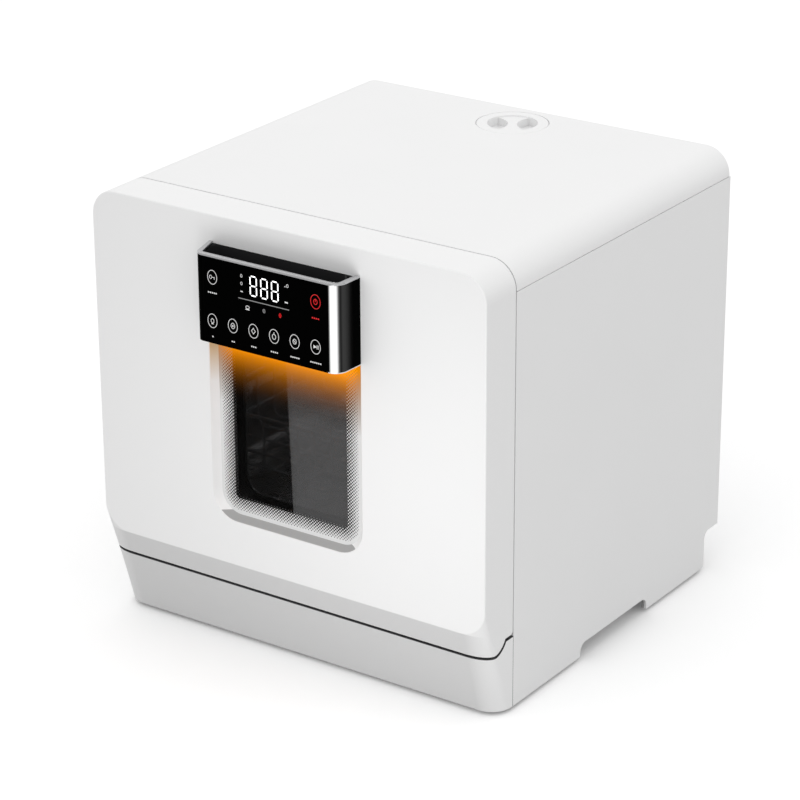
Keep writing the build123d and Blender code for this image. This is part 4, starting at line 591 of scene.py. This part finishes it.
panelPrint = dict(y=-0.22587, thick=0.00008, ringX=0.0054, ringZ=0.0068, line=0.0006,
                  lockX=-0.0535, lockZ=0.3848, powerX=0.0590, powerZ=0.3854)
faceOut = math.radians(90)


def thicken(obj):
    # gives a flat figure its print thickness, towards the viewer
    solid = obj.modifiers.new("thick", "SOLIDIFY")
    solid.thickness = panelPrint["thick"]
    solid.offset = 0
    pickOnly(obj)
    bpy.ops.object.modifier_apply(modifier=solid.name)
    return obj


def flatDisc(x, z, rx, rz, sides=40, turn=0.0):
    # lies in the face of the touch glass, as the rings and bars do
    clearSelection()
    bpy.ops.mesh.primitive_circle_add(vertices=sides, radius=1, fill_type="NGON",
                                      location=(x, panelPrint["y"], z), rotation=(faceOut, 0, 0))
    obj = bpy.context.object
    obj.rotation_euler = (faceOut, turn, 0)
    obj.scale = (rx, rz, 1)
    applyPlace(obj)
    return obj


def flatRing(x, z, rx, rz, line, sides=40, turn=0.0):
    obj = flatDisc(x, z, rx, rz, sides, turn)
    bpy.ops.object.mode_set(mode="EDIT")
    bpy.ops.mesh.select_all(action="SELECT")
    bpy.ops.mesh.inset(thickness=line)
    bpy.ops.mesh.delete(type="FACE")
    bpy.ops.object.mode_set(mode="OBJECT")
    return obj


def flatBar(x, z, width, height, turn=0.0):
    clearSelection()
    bpy.ops.mesh.primitive_plane_add(size=1, location=(x, panelPrint["y"], z),
                                     rotation=(faceOut, turn, 0))
    obj = bpy.context.object
    obj.scale = (width, height, 1)
    applyPlace(obj)
    return obj


def segment(x, z, length, thick, upright):
    # one bar of a figure, with pointed ends
    bar = flatBar(x, z, length, thick, math.radians(90) if upright else 0.0)
    bpy.ops.object.mode_set(mode="EDIT")
    bpy.ops.mesh.select_all(action="SELECT")
    bpy.ops.mesh.bevel(offset=thick * 0.3, segments=1, affect="VERTICES")
    bpy.ops.object.mode_set(mode="OBJECT")
    return bar


digits = dict(x=(-0.0081, 0.0036, 0.0153), z=0.3856, width=0.0068, height=0.0180, thick=0.0012,
              gap=0.0005)


def digitEight(x):
    w, h, t = digits["width"], digits["height"], digits["thick"]
    bars = [segment(x, digits["z"] + level * h / 2, w - t - digits["gap"], t, False)
            for level in (-1, 0, 1)]
    bars += [segment(x + side * w / 2, digits["z"] + level * h / 4, h / 2 - t - digits["gap"], t, True)
             for side in (-1, 1) for level in (-1, 1)]
    return bars


figures = []
for digitX in digits["x"]:
    figures += digitEight(digitX)
figure = thicken(joined(figures))
finishPiece(figure, "panel_digits", "digitWhite", "door")

keys = dict(x=(-0.0546, -0.0319, -0.0092, 0.0134, 0.0358, 0.0584), z=0.3434, markZ=0.3285)


def keyRing(x, z):
    return flatRing(x, z, panelPrint["ringX"], panelPrint["ringZ"], panelPrint["line"])


rings = [keyRing(keyX, keys["z"]) for keyX in keys["x"]]
rings.append(keyRing(panelPrint["lockX"], panelPrint["lockZ"]))
finishPiece(thicken(joined(rings)), "panel_key_rings", "printWhite", "door")


def keyMarks():
    # a plain picture in each ring: pan, plate, cup, fruit, drop and start bars
    x, z = keys["x"], keys["z"]
    marks = [flatRing(x[0], z, 0.0021, 0.0026, 0.0006, 6), flatBar(x[0], z - 0.0028, 0.0024, 0.0008),
             flatRing(x[1], z, 0.0023, 0.0029, 0.0006, 24), flatDisc(x[1], z, 0.0008, 0.0010, 16),
             flatRing(x[2], z, 0.0025, 0.0032, 0.0006, 4),
             flatRing(x[3], z - 0.0004, 0.0022, 0.0027, 0.0006, 20),
             flatBar(x[3], z + 0.0030, 0.0008, 0.0014),
             flatRing(x[4], z, 0.0021, 0.0026, 0.0006, 20), flatBar(x[4], z, 0.0030, 0.0007, 0.8),
             flatDisc(x[5] - 0.0011, z, 0.0019, 0.0024, 3, math.radians(90)),
             flatBar(x[5] + 0.0015, z, 0.0006, 0.0038), flatBar(x[5] + 0.0028, z, 0.0006, 0.0038)]
    lockX, lockZ = panelPrint["lockX"], panelPrint["lockZ"]
    marks += [flatRing(lockX - 0.0018, lockZ, 0.0016, 0.0019, 0.0005, 16),
              flatBar(lockX + 0.0014, lockZ, 0.0028, 0.0006),
              flatBar(lockX + 0.0022, lockZ - 0.0010, 0.0006, 0.0018)]
    return marks


finishPiece(thicken(joined(keyMarks())), "panel_key_marks", "printWhite", "door")


dash = dict(step=0.0021, width=0.0014, height=0.0013)


def levelDots(x, z, count):
    # a row of small dashes that numbers a key
    first = x - (count - 1) / 2 * dash["step"]
    return [flatBar(first + i * dash["step"], z, dash["width"], dash["height"])
            for i in range(count)]


dashes = []
for count, keyX in enumerate(keys["x"]):
    dashes += levelDots(keyX, keys["markZ"], count + 1)
dashes += levelDots(-0.0538, 0.3701, 5)
dashes += [flatRing(-0.0211, 0.3928, 0.0012, 0.0016, 0.0005, 12),
           flatRing(-0.0211, 0.3857, 0.0012, 0.0016, 0.0005, 12),
           flatBar(-0.0211, 0.3782, 0.0026, 0.0010), flatBar(0.0265, 0.3925, 0.0012, 0.0007),
           flatRing(0.0290, 0.3936, 0.0013, 0.0017, 0.0005, 12), flatBar(0.0276, 0.3780, 0.0034, 0.0013),
           flatRing(-0.0150, 0.3645, 0.0022, 0.0017, 0.0006, 20), flatBar(-0.0150, 0.3624, 0.0046, 0.0008)]
finishPiece(thicken(joined(dashes)), "panel_small_marks", "printWhite", "door")

greys = [flatBar(0.0027, 0.3716, 0.0554, 0.0008),
         flatRing(0.0030, 0.3649, 0.0015, 0.0020, 0.0005, 12),
         flatBar(0.0030, 0.3649, 0.0006, 0.0030)]
finishPiece(thicken(joined(greys)), "panel_grey_marks", "printGrey", "door")

powerX, powerZ = panelPrint["powerX"], panelPrint["powerZ"]
reds = [keyRing(powerX, powerZ), flatRing(powerX, powerZ, 0.0022, 0.0028, 0.0006, 24),
        flatBar(powerX, powerZ + 0.0014, 0.0007, 0.0030),
        flatBar(0.0206, 0.3644, 0.0016, 0.0042), flatDisc(0.0206, 0.3644, 0.0014, 0.0017, 16)]
reds += levelDots(0.0587, 0.3700, 4)
finishPiece(thicken(joined(reds)), "panel_red_marks", "indicatorRed", "door")
print("panel figures made")


# ---- a thin dark sheet in the rubber finish on the plinth's top faces, in the gap under the door: painted shade in the gap

gapShadeStrip = dict(level=parting["level"], thick=0.0003)


def makeGapShadeStrip():
    # the plinth's own top faces, copied and thickened
    strip = freeCopy("front_plinth")
    for poly in strip.data.polygons:
        poly.select = not (abs(poly.center.z - gapShadeStrip["level"]) < 0.0001 and poly.normal.z > 0.9)
    for edge in strip.data.edges:
        edge.select = False
    for vertex in strip.data.vertices:
        vertex.select = False
    bpy.ops.object.mode_set(mode="EDIT")
    bpy.ops.mesh.select_mode(type="FACE")
    bpy.ops.mesh.delete(type="FACE")
    bpy.ops.object.mode_set(mode="OBJECT")
    solid = strip.modifiers.new("thick", "SOLIDIFY")
    solid.thickness = gapShadeStrip["thick"]
    solid.offset = 1
    bpy.ops.object.modifier_apply(modifier=solid.name)
    # the dark rubber finish makes this sheet a painted shadow in the gap
    finishPiece(strip, "gap_shade_strip", "sealRubber", "cabinet")


makeGapShadeStrip()


# ---- stage, lights and camera

floorPlan = dict(size=30.0, seen=0.97, lit=0.58, lift=0.09)


def makeFloor():
    clearSelection()
    bpy.ops.mesh.primitive_plane_add(size=floorPlan["size"], location=(0, 0, 0))
    floor = bpy.context.object
    floor.name = "floor"
    mat = bpy.data.materials.new("paleFloor")
    mat.use_nodes = True
    tree = mat.node_tree
    bsdf = tree.nodes["Principled BSDF"]
    bsdf.inputs["Roughness"].default_value = 0.6
    bsdf.inputs["Specular IOR Level"].default_value = 0.1
    seen = tree.nodes.new("ShaderNodeLightPath")
    tree.links.new(blendColours(tree, seen.outputs["Is Camera Ray"], (floorPlan["lit"],) * 3,
                                (floorPlan["seen"],) * 3), bsdf.inputs["Base Color"])
    lift = mathNode(tree, "MULTIPLY", seen.outputs["Is Camera Ray"], floorPlan["lift"])
    bsdf.inputs["Emission Color"].default_value = (1, 1, 1, 1)
    tree.links.new(lift, bsdf.inputs["Emission Strength"])
    floor.data.materials.append(mat)


sky = dict(light=0.97, shown=1.0)


def makeWorld():
    world = bpy.data.worlds.new("studio")
    bpy.context.scene.world = world
    world.use_nodes = True
    tree = world.node_tree
    tree.nodes.clear()
    out = tree.nodes.new("ShaderNodeOutputWorld")
    paths = tree.nodes.new("ShaderNodeLightPath")
    mix = tree.nodes.new("ShaderNodeMixShader")
    tree.links.new(paths.outputs["Is Camera Ray"], mix.inputs["Fac"])
    # the light that the sky gives, and the white that the camera sees
    for place, strength in ((1, sky["light"]), (2, sky["shown"])):
        white = tree.nodes.new("ShaderNodeBackground")
        white.inputs["Strength"].default_value = strength
        white.inputs["Color"].default_value = (1, 1, 1, 1)
        tree.links.new(white.outputs["Background"], mix.inputs[place])
    tree.links.new(mix.outputs["Shader"], out.inputs["Surface"])


lamps = {
    "topLamp": dict(place=(0.3, 0.0, 2.2), aim=(0, 0, 0.3), size=1.6, power=2.5),
    "frontLamp": dict(place=(0.2, -0.62, 0.24), aim=(0.1, -0.2, 0.2), size=0.2, power=0.56),
    "tubLamp": dict(place=(0.0, 0.0, 0.395), aim=(0, 0.02, 0.2), size=0.12, power=0.2),
}


def makeLamp(name, plan):
    data = bpy.data.lights.new(name, "AREA")
    data.shape = "SQUARE"
    data.size = plan["size"]
    data.energy = plan["power"]
    lamp = bpy.data.objects.new(name, data)
    bpy.context.collection.objects.link(lamp)
    lamp.location = plan["place"]
    ahead = Vector(plan["aim"]) - Vector(plan["place"])
    lamp.rotation_euler = ahead.to_track_quat("-Z", "Y").to_euler()


camera = dict(place=(1.5357, -2.2289, 1.3299), turn=34.731, rise=22.622, roll=-0.311, lens=138.88)


def makeCamera():
    data = bpy.data.cameras.new("camera")
    data.lens = camera["lens"]
    data.sensor_width = 36
    cam = bpy.data.objects.new("camera", data)
    bpy.context.collection.objects.link(cam)
    cam.matrix_world = (Matrix.Translation(camera["place"])
                        @ Matrix.Rotation(math.radians(camera["turn"]), 4, "Z")
                        @ Matrix.Rotation(math.radians(90 - camera["rise"]), 4, "X")
                        @ Matrix.Rotation(math.radians(camera["roll"]), 4, "Z"))
    bpy.context.scene.camera = cam


makeFloor()
makeWorld()
for lampName, lampPlan in lamps.items():
    makeLamp(lampName, lampPlan)
makeCamera()
bpy.context.scene.view_settings.view_transform = "Standard"
print("stage, lamps and camera made")
